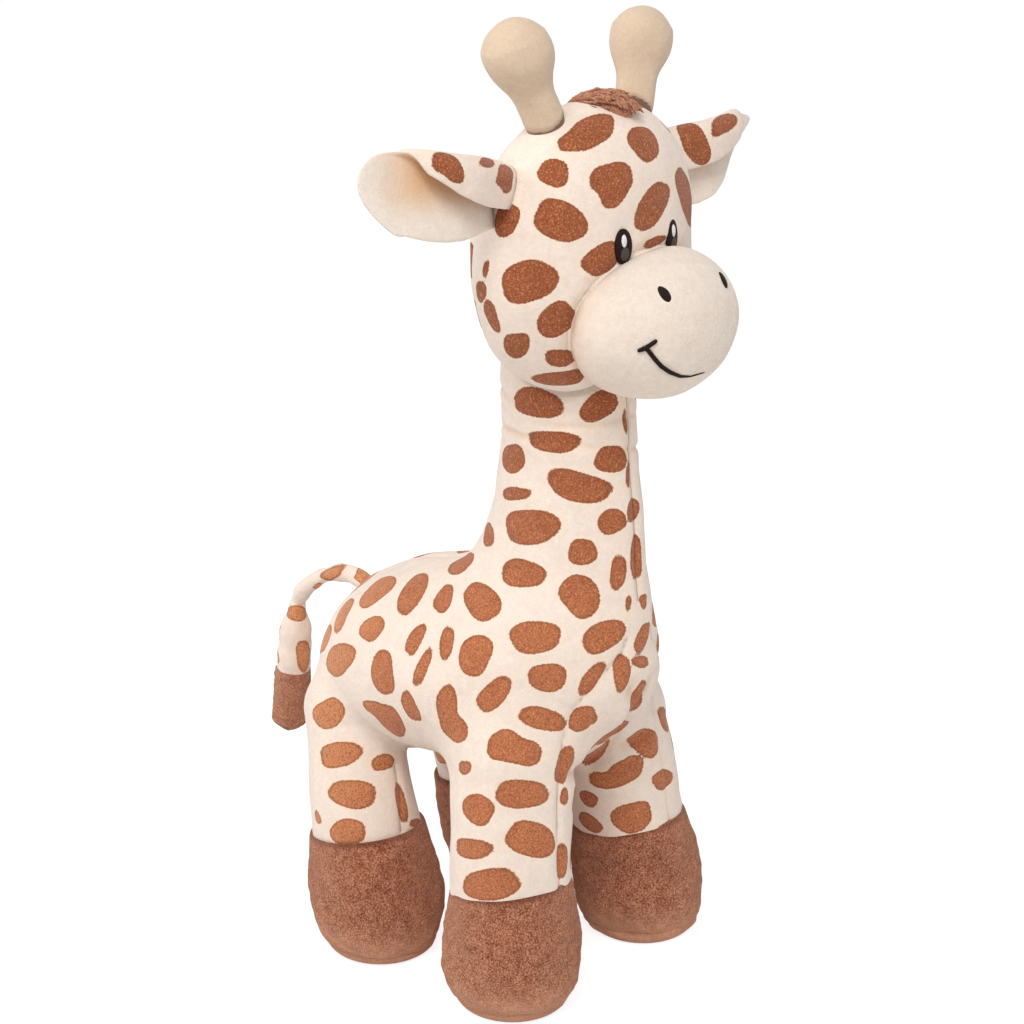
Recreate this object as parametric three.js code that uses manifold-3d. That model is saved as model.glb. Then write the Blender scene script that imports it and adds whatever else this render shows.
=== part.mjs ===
// A stuffed toy giraffe standing on four legs, in millimetres, +Z up, facing -Y with its left side at +X.
// Sewn velour skins stand round stuffing cores. Sizes are measured from the middle of the four feet on
// the floor, and the last lines move the origin to the middle of the whole outline, on the floor.
import * as THREE from "three";
import { mergeVertices } from "three/addons/utils/BufferGeometryUtils.js";
import Module from "manifold-3d";

const wasm = await Module();
wasm.setup();

// Cloth, gaps and stitching
const skinThickness = 1.6;
const clearance = 0.3;
const stitchHeight = 0.6;

// Body: an egg that lies along Y
const bodyLength = 131;
const bodyWidth = 96;
const bodyDepth = 75;
const bodyMiddleHeight = 111.5;
const bodyMiddleBack = 11;
const bodyRise = 9;
const bodyBluntness = 2.5;

// Neck: an oval column that flares into the body
const neckFront = 53.5;
const neckWidth = 36.5;
const neckDepth = 53;
const neckFlareWidth = 13;
const neckFlareDepth = 19;
const chestBulge = 6;
const neckFlareRise = 36.5;
const neckFlareHeight = 62;
const neckFootRise = 0.5;
const neckHeight = 134;
const neckBallRadius = 40.5;
const neckPivotRise = 34.5;
const neckPivotForward = 20;
const neckDepthPower = 1.6;
const neckWidthPower = 3;

// Head and muzzle
const headWidth = 95;
const headDepth = 62;
const headHeight = 99;
const headRise = 25;
const headForward = 33;
const headBluntness = 2.3;
const headHoleRadius = 13;
const headTurn = 20;
const muzzleWidth = 68;
const muzzleDepth = 49;
const muzzleHeight = 54;
const muzzleDrop = 21;
const muzzleReach = 30;
const muzzleBluntness = 2.15;

// Legs and hooves
const footSpacing = 75.2;
const hipSpacing = 57;
const legSpacing = 65.8;
const hipDrop = 23.5;
const frontHipBack = 8;
const hindHipBack = 16;
const hipLeanPower = 1.5;
const hipBallRadius = 22;
const legRadius = 21.5;
const legTopRadius = 20.8;
const legInward = 5;
const legOutward = 14;
const hoofHeight = 46;
const hoofRadius = 25.5;
const hoofTopRadius = 21.6;
const hoofToeRadius = 21;
const hoofWidestHeight = 16;
const hoofToePower = 2.4;

// Horns
const hornBaseSpacing = 42;
const hornKnobSpacing = 67.5;
const hornBaseRise = 36;
const hornBaseForward = 2.5;
const hornHeight = 31;
const hornLeanBack = 4;
const hornKnobRadius = 12;
const hornStemRadius = 6.8;
const hornFootRadius = 8.6;
const hornShares = [0.25, 0.45, 0.9];
const hornKnobTurns = [-30, 0, 30, 60];

// Ears
const earLength = 62;
const earHeight = 32;
const earRootHeight = 24;
const earForward = 0.5;
const earRise = 20.5;
const earTilt = 10;
const earCup = 7;
const earThickness = 1.5;
const earWidestShare = 0.55;
const earTipShare = 0.15;
const earBluntness = 2.4;

// Forelock
const tuftLength = 30;
const tuftWidth = 13;
const tuftHeight = 9;
const tuftForward = 7;
const tuftBluntness = 2.2;

// Tail
const tailRadius = 5.5;
const tailRootRise = 14.5;
const tailRootBack = 58;
const tailBallRadius = 7;
const tailSwing = 35;
const tailTopBack = 19;
const tailKinkBack = 38;
const tailKinkDrop = 16;
const tailDropShare = 0.6;
const tailTipDrop = 57;
const tailTipBack = 10;
const tailTipRadius = 6.5;

// Embroidered face
const eyeSpacing = 27;
const eyeRise = 6;
const eyeTall = 11.5;
const eyeWide = 7.5;
const glintTall = 4;
const glintWide = 2.8;
const nostrilSpacing = 32;
const nostrilRise = 12.5;
const nostrilTall = 5.6;
const nostrilWide = 3.4;
const mouthCornerReach = 26;
const mouthEndReach = 6;
const mouthHeight = 13;
const mouthDrop = 16.5;
const mouthStrokeLength = 6;
const mouthLineWidth = 1.7;
const mouthEndWidth = 0.8;

// Counts of facets
const roundSides = 20;
const limbSides = 16;
const ballSides = 14;
const coreSides = 10;
const smallSides = 8;
const bodyRows = 12;
const neckRows = 9;
const headRows = 12;
const muzzleRows = 9;
const limbRows = 4;
const hoofRows = 6;
const coreRows = 8;
const earRows = 8;
const earColumns = 6;
const tailRows = 8;
const mouthRows = 12;
const threadSides = 6;

// Heights and places that follow from the sizes above
const neckFlareStart = bodyMiddleHeight + neckFlareRise;
const neckFoot = bodyMiddleHeight + neckFootRise;
const neckTop = neckFoot + neckHeight;
const neckPivotHeight = bodyMiddleHeight + neckPivotRise;
const hipHeight = bodyMiddleHeight - hipDrop;
const headMiddleHeight = neckTop + headRise;

const X = new THREE.Vector3(1, 0, 0);
const Y = new THREE.Vector3(0, 1, 0);
const Z = new THREE.Vector3(0, 0, 1);
const halfTurn = 180;
const radians = (degrees) => (degrees * Math.PI) / halfTurn;

const velour = new THREE.MeshStandardMaterial({ color: 0xe9c9ad, roughness: 0.95, metalness: 0 });
const cream = new THREE.MeshStandardMaterial({ color: 0xf0dcc2, roughness: 0.95, metalness: 0 });
const brown = new THREE.MeshStandardMaterial({ color: 0x94543c, roughness: 0.97, metalness: 0 });
const thread = new THREE.MeshStandardMaterial({ color: 0x2e211c, roughness: 0.7, metalness: 0 });
const whiteThread = new THREE.MeshStandardMaterial({ color: 0xf6f4f0, roughness: 0.6, metalness: 0 });
const wadding = new THREE.MeshStandardMaterial({ color: 0xf4f2ee, roughness: 1, metalness: 0 });

// A closed solid from a list of rings with equal counts, with a fan from each end ring to its pole.
function loft(rings, firstPole, lastPole) {
  const sides = rings[0].length;
  const points = [...rings.flat(), firstPole, lastPole];
  const first = points.length - 2;
  const last = points.length - 1;
  const faces = [];
  for (let side = 0; side < sides; side++) {
    const next = (side + 1) % sides;
    for (let row = 0; row + 1 < rings.length; row++) {
      const a = row * sides + side;
      const b = row * sides + next;
      faces.push(a, b, b + sides, a, b + sides, a + sides);
    }
    const end = (rings.length - 1) * sides;
    faces.push(first, next, side, last, end + side, end + next);
  }
  const geometry = new THREE.BufferGeometry();
  const positions = points.flatMap((point) => point.toArray());
  geometry.setAttribute("position", new THREE.Float32BufferAttribute(positions, 3));
  geometry.setIndex(faces);
  return solid(geometry);
}

// The manifold solid of a closed geometry, with its faces turned outwards.
function solid(geometry) {
  const source = geometry.clone();
  source.deleteAttribute("normal");
  source.deleteAttribute("uv");
  const merged = mergeVertices(source);
  const vertProperties = new Float32Array(merged.attributes.position.array);
  const triVerts = new Uint32Array(merged.index.array);
  const made = new wasm.Manifold(new wasm.Mesh({ numProp: 3, vertProperties, triVerts }));
  if (made.volume() > 0) return made;
  return new wasm.Manifold(new wasm.Mesh({ numProp: 3, vertProperties, triVerts: triVerts.reverse() }));
}

// A named mesh from a manifold solid.
function piece(name, body, material) {
  const mesh = body.getMesh();
  const positions = [];
  for (let i = 0; i < mesh.vertProperties.length; i += mesh.numProp) {
    positions.push(...mesh.vertProperties.subarray(i, i + 3));
  }
  const geometry = new THREE.BufferGeometry();
  geometry.setAttribute("position", new THREE.Float32BufferAttribute(positions, 3));
  geometry.setIndex(Array.from(mesh.triVerts));
  const made = new THREE.Mesh(geometry.toNonIndexed(), material);
  made.geometry.computeVertexNormals();
  made.name = name;
  return made;
}

// An oval ring about a centre, with its half sizes along two directions.
function ring(centre, across, up, halfAcross, halfUp, sides) {
  return Array.from({ length: sides }, (_, k) => {
    const angle = (2 * Math.PI * k) / sides;
    return centre
      .clone()
      .addScaledVector(across, halfAcross * Math.cos(angle))
      .addScaledVector(up, halfUp * Math.sin(angle));
  });
}

// An egg: rings spaced by the cosine of an angle, whose size follows a superellipse.
function egg(centre, along, across, up, half, bluntness, rows, sides, slope = 0) {
  const rings = [];
  const at = (share) =>
    centre.clone().addScaledVector(along, half.along * share).addScaledVector(up, slope * share);
  for (let row = 1; row < rows; row++) {
    const share = -Math.cos((Math.PI * row) / rows);
    const size = (1 - Math.abs(share) ** bluntness) ** (1 / bluntness);
    rings.push(ring(at(share), across, up, half.across * size, half.up * size, sides));
  }
  return loft(rings, at(-1), at(1));
}

// A ball whose poles lie on the axis that it turns about.
function ball(centre, axis, radius, sides) {
  const half = { along: radius, across: radius, up: radius };
  const across = axis === X ? Y : X;
  return egg(centre, axis, across, axis.clone().cross(across), half, 2, sides / 2, sides);
}

// The ball-shaped hollow that a faceted ball can turn in, with its clearance outside the facets' corners.
function socket(centre, axis, radius, sides) {
  return ball(centre, axis, aroundFacets(radius + clearance, sides), sides);
}

// The radius of a faceted round whose flats clear a circle of the given radius.
function aroundFacets(radius, sides) {
  return radius / Math.cos(Math.PI / sides);
}

// An upright box between two corners.
function box(low, high) {
  const size = high.clone().sub(low);
  const middle = low.clone().add(high).divideScalar(2);
  return solid(new THREE.BoxGeometry(size.x, size.y, size.z).translate(middle.x, middle.y, middle.z));
}

// A solid turned about an axis through a point.
function turned(body, axis, point, degrees) {
  const matrix = new THREE.Matrix4()
    .makeTranslation(point.x, point.y, point.z)
    .multiply(new THREE.Matrix4().makeRotationAxis(axis, radians(degrees)))
    .multiply(new THREE.Matrix4().makeTranslation(-point.x, -point.y, -point.z));
  return body.transform(matrix.elements);
}

// A round tube along a path, with a radius for each of its points.
function tube(points, radii, sides) {
  const rings = points.map((point, k) => {
    const before = points[Math.max(k - 1, 0)];
    const after = points[Math.min(k + 1, points.length - 1)];
    const direction = after.clone().sub(before).normalize();
    const across = Math.abs(direction.x) < 0.9 ? X.clone() : Y.clone();
    across.addScaledVector(direction, -across.dot(direction)).normalize();
    return ring(point, across, direction.clone().cross(across), radii[k], radii[k], sides);
  });
  return loft(rings, points[0], points[points.length - 1]);
}

// Body and neck

const neckPivot = new THREE.Vector3(0, -neckPivotForward, neckPivotHeight);
const bodyMiddle = new THREE.Vector3(0, bodyMiddleBack, bodyMiddleHeight);

function bodyForm(inset, rows, sides) {
  const half = {
    along: bodyLength / 2 - inset,
    across: bodyWidth / 2 - inset,
    up: bodyDepth / 2 - inset,
  };
  return egg(bodyMiddle, Y, X, Z, half, bodyBluntness, rows, sides, -bodyRise / 2);
}

// The neck's front stays straight, and its back and sides flare out below the flare's top.
function neckForm(inset, rows, sides) {
  const rings = [];
  const centres = [];
  for (let row = 0; row <= rows; row++) {
    const height = neckFoot + ((neckTop - neckFoot) * row) / rows;
    const flare = Math.min(Math.max(1 - (height - neckFlareStart) / neckFlareHeight, 0), 1);
    const halfDepth = (neckDepth + neckFlareDepth * flare ** neckDepthPower) / 2;
    const halfWidth = (neckWidth + neckFlareWidth * flare ** neckWidthPower) / 2;
    const centre = new THREE.Vector3(0, halfDepth - neckFront - chestBulge * flare, height);
    centres.push(centre);
    rings.push(ring(centre, X, Y, halfWidth - inset, halfDepth - inset, sides));
  }
  return loft(rings, centres[0], centres[rows]);
}

// All above the neck's pivot: with the ball below, it is the part of the body that bends with the neck.
function aboveNeckPivot(grow) {
  const low = new THREE.Vector3(-bodyWidth, -2 * neckFront, neckPivotHeight - grow);
  const high = new THREE.Vector3(bodyWidth, neckDepth / 4 + grow, 2 * neckTop);
  return box(low, high);
}

// Legs

const legPlaces = [
  { name: "front_right", side: -1, back: -1 },
  { name: "front_left", side: 1, back: -1 },
  { name: "hind_right", side: -1, back: 1 },
  { name: "hind_left", side: 1, back: 1 },
];

function hip(place) {
  return legMiddle(place, hipHeight);
}

// The middle of a leg at a height: it leans out and forward on its way down from the hip.
function legMiddle(place, height) {
  const share = Math.min(Math.max(height / hipHeight, 0), 1);
  const across = footSpacing / 2 + ((hipSpacing - footSpacing) / 2) * share ** 2;
  const hipBack = place.back < 0 ? frontHipBack : hindHipBack;
  const back = (place.back * legSpacing) / 2 + hipBack * share ** hipLeanPower;
  return new THREE.Vector3(place.side * across, back, height);
}

// A leg from the hoof's top edge up to the ball that sits in the body.
function legForm(place, grow, sides, bottom) {
  const rings = [];
  for (let row = 0; row <= limbRows; row++) {
    const share = row / limbRows;
    const height = bottom + (hipHeight - bottom) * share;
    const radius = legRadius + (legTopRadius - legRadius) * share ** 2 + grow;
    rings.push(ring(legMiddle(place, height), X, Y, radius, radius, sides));
  }
  return loft(rings, legMiddle(place, bottom), legMiddle(place, hipHeight));
}

// The space a leg sweeps as it splays, with its clearance.
function legSweep(place) {
  const grow = aroundFacets(legRadius, coreSides) - legRadius + clearance;
  const grown = legForm(place, grow, coreSides, hoofHeight);
  const parts = [-legInward, legOutward].map((step) => turned(grown, Y, hip(place), -place.side * step));
  return wasm.Manifold.union([socket(hip(place), Y, hipBallRadius, ballSides), ...parts]);
}

// A hoof's radius swells from the floor to its widest height and narrows to its top edge.
function hoofForm(place, grow, reach, sides) {
  const rings = [];
  for (let row = 0; row <= hoofRows; row++) {
    const height = (hoofHeight + 2 * reach) * (row / hoofRows) - reach;
    const below = Math.min(Math.max(1 - height / hoofWidestHeight, 0), 1);
    const above = Math.min(Math.max(height - hoofWidestHeight, 0) / (hoofHeight - hoofWidestHeight), 1);
    const toeTaper = (hoofRadius - hoofToeRadius) * below ** hoofToePower;
    const topTaper = (hoofRadius - hoofTopRadius) * above ** 2;
    const radius = hoofRadius - toeTaper - topTaper + grow;
    rings.push(ring(legMiddle(place, height), X, Y, radius, radius, sides));
  }
  return loft(rings, legMiddle(place, -reach), legMiddle(place, hoofHeight + reach));
}

// What lies between two heights.
function slice(body, low, high) {
  const reach = 2 * bodyLength;
  const between = box(new THREE.Vector3(-reach, -reach, low), new THREE.Vector3(reach, reach, high));
  return body.intersect(between);
}

function makeLeg(place) {
  const wall = skinThickness;
  const hipBall = (grow) => ball(hip(place), Y, hipBallRadius + grow, ballSides);
  const outer = legForm(place, 0, limbSides, hoofHeight + clearance).add(hipBall(0));
  const inner = legForm(place, -wall, coreSides, hoofHeight - wall).add(hipBall(-wall));
  const corePad = -wall - clearance;
  const core = legForm(place, corePad, coreSides, hoofHeight - wall).add(hipBall(corePad));
  const boot = hoofForm(place, 0, 0, limbSides);
  const bootHollow = hoofForm(place, -wall, wall, coreSides);
  const bootFilling = hoofForm(place, corePad, wall, coreSides);
  const bootCore = slice(bootFilling, wall + clearance, hoofHeight);
  const sole = slice(bootFilling, 0, wall);
  return [
    piece(place.name + "_leg_skin", outer.subtract(inner), velour),
    piece(place.name + "_leg_stuffing", core.add(bootCore), wadding),
    piece(place.name + "_hoof", boot.subtract(bootHollow), brown),
    piece(place.name + "_sole", sole, brown),
  ];
}

// Head and muzzle

const headMiddle = new THREE.Vector3(0, -headForward, headMiddleHeight);
const muzzleMiddle = new THREE.Vector3(0, -headForward - muzzleReach, headMiddleHeight - muzzleDrop);

function headForm(grow, rows, sides) {
  const half = { along: headHeight / 2 + grow, across: headWidth / 2 + grow, up: headDepth / 2 + grow };
  return egg(headMiddle, Z, X, Y, half, headBluntness, rows, sides);
}

function muzzleForm(grow, rows, sides) {
  const half = {
    along: muzzleDepth / 2 + grow,
    across: muzzleWidth / 2 + grow,
    up: muzzleHeight / 2 + grow,
  };
  return egg(muzzleMiddle, Y, X, Z, half, muzzleBluntness, rows, sides);
}

// The space that the head and muzzle sweep as the head turns, with its clearance.
function headSweep() {
  const muzzleGrow = aroundFacets(muzzleWidth / 2, coreSides) - muzzleWidth / 2 + clearance;
  const half = {
    along: headHeight / 2 + clearance,
    across: aroundFacets(headWidth / 2, ballSides) + clearance,
    up: aroundFacets(headDepth / 2, ballSides) + clearance,
  };
  const head = egg(headMiddle, Z, X, Y, half, headBluntness, headRows, ballSides);
  const grown = head.add(muzzleForm(muzzleGrow, coreRows, coreSides));
  const steps = [-headTurn, -headTurn / 2, 0, headTurn / 2, headTurn];
  return wasm.Manifold.union(steps.map((step) => turned(grown, Z, headMiddle, step)));
}

// A point of the head or muzzle surface seen from straight ahead, and the way that it faces.
function facePoint(form, across, height) {
  const { middle, width, depth, tall, bluntness, axis } = form;
  const x = across / (width / 2);
  const z = (height - middle.z) / (tall / 2);
  let y;
  if (axis === "Z") {
    const size = (1 - Math.abs(z) ** bluntness) ** (1 / bluntness);
    y = -Math.sqrt(Math.max(size ** 2 - x ** 2, 0));
  } else {
    const size = Math.hypot(x, z);
    y = -((1 - size ** bluntness) ** (1 / bluntness));
  }
  return new THREE.Vector3(across, middle.y + (y * depth) / 2, height);
}

const headShape = {
  middle: headMiddle,
  width: headWidth,
  depth: headDepth,
  tall: headHeight,
  bluntness: headBluntness,
  axis: "Z",
};
const muzzleShape = {
  middle: muzzleMiddle,
  width: muzzleWidth,
  depth: muzzleDepth,
  tall: muzzleHeight,
  bluntness: muzzleBluntness,
  axis: "Y",
};

// An oval patch of thread that follows a surface: an oval bar cut by two grown copies of the form.
function patch(form, shape, across, height, wide, tall, low) {
  const front = facePoint(shape, across, height);
  const outward = front.clone().sub(shape.middle);
  outward.z = 0;
  outward.normalize();
  const sideways = Z.clone().cross(outward);
  const reach = 3 * clearance + 4 * stitchHeight;
  const poles = [-reach, reach].map((step) => front.clone().addScaledVector(outward, step));
  const ends = poles.map((pole) => ring(pole, sideways, Z, wide / 2, tall / 2, limbSides));
  const bar = loft(ends, poles[0], poles[1]);
  const top = form(low + stitchHeight, headRows, roundSides);
  return bar.intersect(top).subtract(form(low, headRows, roundSides));
}

function makeHead() {
  const wall = skinThickness;
  const outer = headForm(0, headRows, roundSides);
  const hole = box(
    new THREE.Vector3(-headHoleRadius, -headForward - headHoleRadius, headMiddleHeight - headHeight),
    new THREE.Vector3(headHoleRadius, -headForward + headHoleRadius, headMiddleHeight),
  );
  const skin = outer.subtract(headForm(-wall, coreRows, coreSides)).subtract(hole);
  const core = headForm(-wall - clearance, coreRows, coreSides);
  const cutter = headForm(clearance, headRows, roundSides);
  const muzzle = muzzleForm(0, muzzleRows, roundSides);
  const muzzleSkin = muzzle.subtract(muzzleForm(-wall, coreRows, coreSides)).subtract(cutter);
  const muzzleCore = muzzleForm(-wall - clearance, coreRows, coreSides).subtract(cutter);
  return [
    piece("head_skin", skin, velour),
    piece("head_stuffing", core, wadding),
    piece("muzzle_skin", muzzleSkin, cream),
    piece("muzzle_stuffing", muzzleCore, wadding),
  ];
}

function makeFace() {
  const made = [];
  for (const [name, side] of [["right", -1], ["left", 1]]) {
    const eyeAcross = (side * eyeSpacing) / 2;
    const eyeHeight = headMiddleHeight + eyeRise;
    const eye = patch(headForm, headShape, eyeAcross, eyeHeight, eyeWide, eyeTall, clearance);
    const aboveMuzzle = eye.subtract(muzzleForm(clearance, muzzleRows, roundSides));
    const glintPlace = eyeHeight + eyeTall / 4;
    const above = 2 * clearance + stitchHeight;
    const glint = patch(headForm, headShape, eyeAcross, glintPlace, glintWide, glintTall, above);
    const nostrilAcross = (side * nostrilSpacing) / 2;
    const place = [nostrilAcross, muzzleMiddle.z + nostrilRise, nostrilWide, nostrilTall];
    const nostril = patch(muzzleForm, muzzleShape, ...place, clearance);
    made.push(piece(name + "_eye", aboveMuzzle, thread));
    made.push(piece(name + "_eye_glint", glint, whiteThread));
    made.push(piece(name + "_nostril", nostril, thread));
  }
  made.push(piece("mouth", makeMouth(), thread));
  return made;
}

// A smile that runs from one cheek, where a short stroke crosses it, to just past the middle.
function makeMouth() {
  const bottom = muzzleMiddle.z - mouthDrop;
  const heightAt = (across) => bottom + mouthHeight * (across / mouthCornerReach) ** 2;
  const onMuzzle = (across, height) => {
    const surface = facePoint(muzzleShape, across, height);
    const outward = surface.clone().sub(muzzleMiddle).normalize();
    return surface.addScaledVector(outward, mouthLineWidth / 2 + clearance);
  };
  const shares = Array.from({ length: mouthRows + 1 }, (_, k) => k / mouthRows);
  const line = shares.map((share) => {
    const across = -mouthCornerReach + (mouthCornerReach + mouthEndReach) * share;
    return onMuzzle(across, heightAt(across));
  });
  const widths = shares.map((share) => mouthLineWidth + (mouthEndWidth - mouthLineWidth) * share ** 3);
  const radii = widths.map((width) => width / 2);
  const crossing = [-1, 0, 1].map((end) => {
    const across = -mouthCornerReach + (end * mouthStrokeLength) / 2;
    return onMuzzle(across, bottom + mouthHeight + (end * mouthStrokeLength) / 3);
  });
  const stroke = tube(crossing, crossing.map(() => mouthLineWidth / 2), threadSides);
  return tube(line, radii, threadSides).add(stroke);
}

// Horns, forelock and ears

function hornForm(side, grow, sides) {
  const base = new THREE.Vector3(
    (side * hornBaseSpacing) / 2,
    -headForward - hornBaseForward,
    headMiddleHeight + hornBaseRise,
  );
  const knob = base.clone().setX((side * hornKnobSpacing) / 2);
  knob.y += hornLeanBack;
  knob.z += hornHeight;
  const along = knob.clone().sub(base);
  const length = along.length();
  along.normalize();
  const knobRadius = hornKnobRadius + grow;
  const [taperShare, stemShare, neckShare] = hornShares;
  const stations = [
    [0, hornFootRadius + grow],
    [taperShare * length, (hornFootRadius + hornStemRadius) / 2 + grow],
    [stemShare * length, hornStemRadius + grow],
    [length - neckShare * knobRadius, (hornStemRadius + hornKnobRadius) / 2 + grow],
  ];
  for (const turn of hornKnobTurns) {
    const angle = radians(turn);
    stations.push([length + Math.sin(angle) * knobRadius, knobRadius * Math.cos(angle)]);
  }
  const across = Y.clone().cross(along).normalize();
  const up = along.clone().cross(across);
  const rings = stations.map(([distance, radius]) => {
    const centre = base.clone().addScaledVector(along, distance);
    return ring(centre, across, up, radius, radius, sides);
  });
  const tip = knob.clone().addScaledVector(along, hornKnobRadius + grow);
  return loft(rings, base, tip);
}

function makeHorn(side, name, headCutter) {
  const wall = skinThickness;
  const outer = hornForm(side, 0, limbSides);
  const inner = hornForm(side, -wall, coreSides);
  const core = hornForm(side, -wall - clearance, coreSides);
  return [
    piece(name + "_horn_skin", outer.subtract(inner).subtract(headCutter), cream),
    piece(name + "_horn_stuffing", core.subtract(headCutter), wadding),
  ];
}

function makeTuft(headCutter) {
  const top = headMiddleHeight + headHeight / 2;
  const middle = new THREE.Vector3(0, -headForward - tuftForward, top - tuftHeight / 2);
  const half = { along: tuftLength / 2, across: tuftWidth / 2, up: tuftHeight };
  const tuft = egg(middle, Y, X, Z, half, tuftBluntness, smallSides, limbSides);
  return piece("forelock", tuft.subtract(headCutter), brown);
}

// The ear's seam on the side of the head: a place, the way out along the ear, and the way up the seam.
function earFrame(side) {
  const tilt = radians(earTilt);
  const share = earRise / (headHeight / 2);
  const size = (1 - Math.abs(share) ** headBluntness) ** (1 / headBluntness);
  const out = new THREE.Vector3(side * Math.cos(tilt), 0, Math.sin(tilt));
  const up = new THREE.Vector3(-side * Math.sin(tilt), 0, Math.cos(tilt));
  const across = (side * headWidth * size) / 2;
  const root = headMiddle.clone().add(new THREE.Vector3(across, -earForward, earRise));
  return { root: root.addScaledVector(out, earThickness + 2 * clearance), out, up };
}

// A leaf-shaped sheet, cupped towards the front, whose root edge is a straight line.
function earSheet(side, offset, start, trim) {
  const rows = earRows;
  const columns = earColumns;
  const { root, out, up } = earFrame(side);
  const front = [];
  const back = [];
  for (let row = 0; row <= rows; row++) {
    const share = Math.sin((Math.PI / 2) * (row / rows));
    const swell = Math.sin((Math.PI / 2) * Math.min(share / earWidestShare, 1));
    const past = Math.max(share - earWidestShare, 0) / (1 - earWidestShare);
    const tip = Math.max((1 - past ** earBluntness) ** (1 / earBluntness), earTipShare);
    const halfHeight = ((earRootHeight + (earHeight - earRootHeight) * swell) / 2) * tip - trim;
    for (let column = 0; column <= columns; column++) {
      const across = (2 * column) / columns - 1;
      const cup = earCup * (1 - across ** 2) * Math.sin(Math.PI * Math.min(share, 1 - earTipShare));
      const point = root
        .clone()
        .addScaledVector(out, start + share * (earLength - start - trim))
        .addScaledVector(up, across * halfHeight)
        .addScaledVector(Y, cup + offset);
      front.push(point.clone().addScaledVector(Y, -earThickness / 2));
      back.push(point.clone().addScaledVector(Y, earThickness / 2));
    }
  }
  return sheetSolid(front, back, rows, columns);
}

// The printed back with its rolled seam, and the plain lining in front of it.
function makeEar(side, name) {
  const { root, up } = earFrame(side);
  const reach = earRootHeight / 2;
  const seamEnds = [-reach, reach].map((step) => root.clone().addScaledVector(up, step));
  const seam = tube(seamEnds, [earThickness, earThickness], smallSides);
  const lining = earSheet(side, -earThickness - clearance, 2 * earThickness, earThickness / 2);
  return [
    piece(name + "_ear_back", earSheet(side, 0, 0, 0).add(seam), velour),
    piece(name + "_ear_lining", lining, cream),
  ];
}

// A closed solid between two grids of points with the same layout.
function sheetSolid(front, back, rows, columns) {
  const points = [...front, ...back];
  const wide = columns + 1;
  const count = front.length;
  const faces = [];
  const quad = (a, b, c, d) => faces.push(a, b, c, a, c, d);
  for (let row = 0; row < rows; row++) {
    for (let column = 0; column < columns; column++) {
      const a = row * wide + column;
      quad(a, a + 1, a + wide + 1, a + wide);
      quad(count + a, count + a + wide, count + a + wide + 1, count + a + 1);
    }
    const left = row * wide;
    const right = left + columns;
    quad(left, left + wide, count + left + wide, count + left);
    quad(right, count + right, count + right + wide, right + wide);
  }
  for (let column = 0; column < columns; column++) {
    const low = column;
    const high = rows * wide + column;
    quad(low, count + low, count + low + 1, low + 1);
    quad(high, high + 1, count + high + 1, count + high);
  }
  const geometry = new THREE.BufferGeometry();
  const positions = points.flatMap((point) => point.toArray());
  geometry.setAttribute("position", new THREE.Float32BufferAttribute(positions, 3));
  geometry.setIndex(faces);
  return solid(geometry);
}

// Tail

const tailRoot = bodyMiddle.clone().add(new THREE.Vector3(0, tailRootBack, tailRootRise));
const tailKink = tailRoot.clone().add(new THREE.Vector3(0, tailKinkBack, -tailKinkDrop));

// The arched first stretch of the tail, from the ball in the rump to the kink.
function tailArch(grow) {
  const top = tailRoot.clone().add(new THREE.Vector3(0, tailTopBack, 0));
  const path = new THREE.CatmullRomCurve3([tailRoot, top, tailKink]).getPoints(tailRows);
  return tube(path, path.map(() => tailRadius + grow), smallSides);
}

// The hollow in the rump that lets the tail swing from side to side.
function tailSweep() {
  const grown = tailArch(aroundFacets(tailRadius, smallSides) - tailRadius + clearance);
  const parts = [-tailSwing, 0, tailSwing].map((step) => turned(grown, Z, tailRoot, step));
  return wasm.Manifold.union([socket(tailRoot, Z, tailBallRadius, coreSides), ...parts]);
}

function makeTail() {
  const kink = tailKink;
  const end = kink.clone().add(new THREE.Vector3(0, tailTipBack, -tailTipDrop));
  const kinkRadius = tailRadius + clearance;
  const rootSolid = tailArch(0).add(ball(tailRoot, Z, tailBallRadius, coreSides));
  const down = end.clone().sub(kink);
  const length = down.length();
  down.normalize();
  const along = (distance) => kink.clone().addScaledVector(down, distance);
  const dropTube = tube([kink, along(tailDropShare * length)], [tailRadius, tailRadius], smallSides);
  const tipTop = tailDropShare * length + clearance;
  const tipStops = [tipTop, tipTop + tailRadius, length - tailRadius, length];
  const tipRadii = [tailRadius, tailTipRadius, tailTipRadius, tailRadius / 2];
  return [
    piece("tail_root", rootSolid.subtract(socket(kink, X, kinkRadius, coreSides)), velour),
    piece("tail_drop", dropTube.add(ball(kink, X, kinkRadius, coreSides)), velour),
    piece("tail_tip", tube(tipStops.map(along), tipRadii, smallSides), brown),
  ];
}

function makeBody() {
  const wall = skinThickness;
  const outer = bodyForm(0, bodyRows, roundSides).add(neckForm(0, neckRows, roundSides));
  const inner = bodyForm(wall, coreRows, coreSides).add(neckForm(wall, coreRows, coreSides));
  const pad = wall + clearance;
  const core = bodyForm(pad, coreRows, coreSides).add(neckForm(pad, coreRows, coreSides));
  const legs = wasm.Manifold.union(legPlaces.map(legSweep));
  const cutters = legs
    .add(socket(neckPivot, X, neckBallRadius, roundSides))
    .add(aboveNeckPivot(clearance))
    .add(tailSweep());
  const head = headSweep();
  const shell = outer.subtract(inner);
  const region = ball(neckPivot, X, neckBallRadius, roundSides).add(aboveNeckPivot(0));
  return [
    piece("body_skin", shell.subtract(cutters), velour),
    piece("body_stuffing", core.subtract(cutters), wadding),
    piece("neck_skin", shell.intersect(region).subtract(head), velour),
    piece("neck_stuffing", core.intersect(region).subtract(head), wadding),
  ];
}

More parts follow.
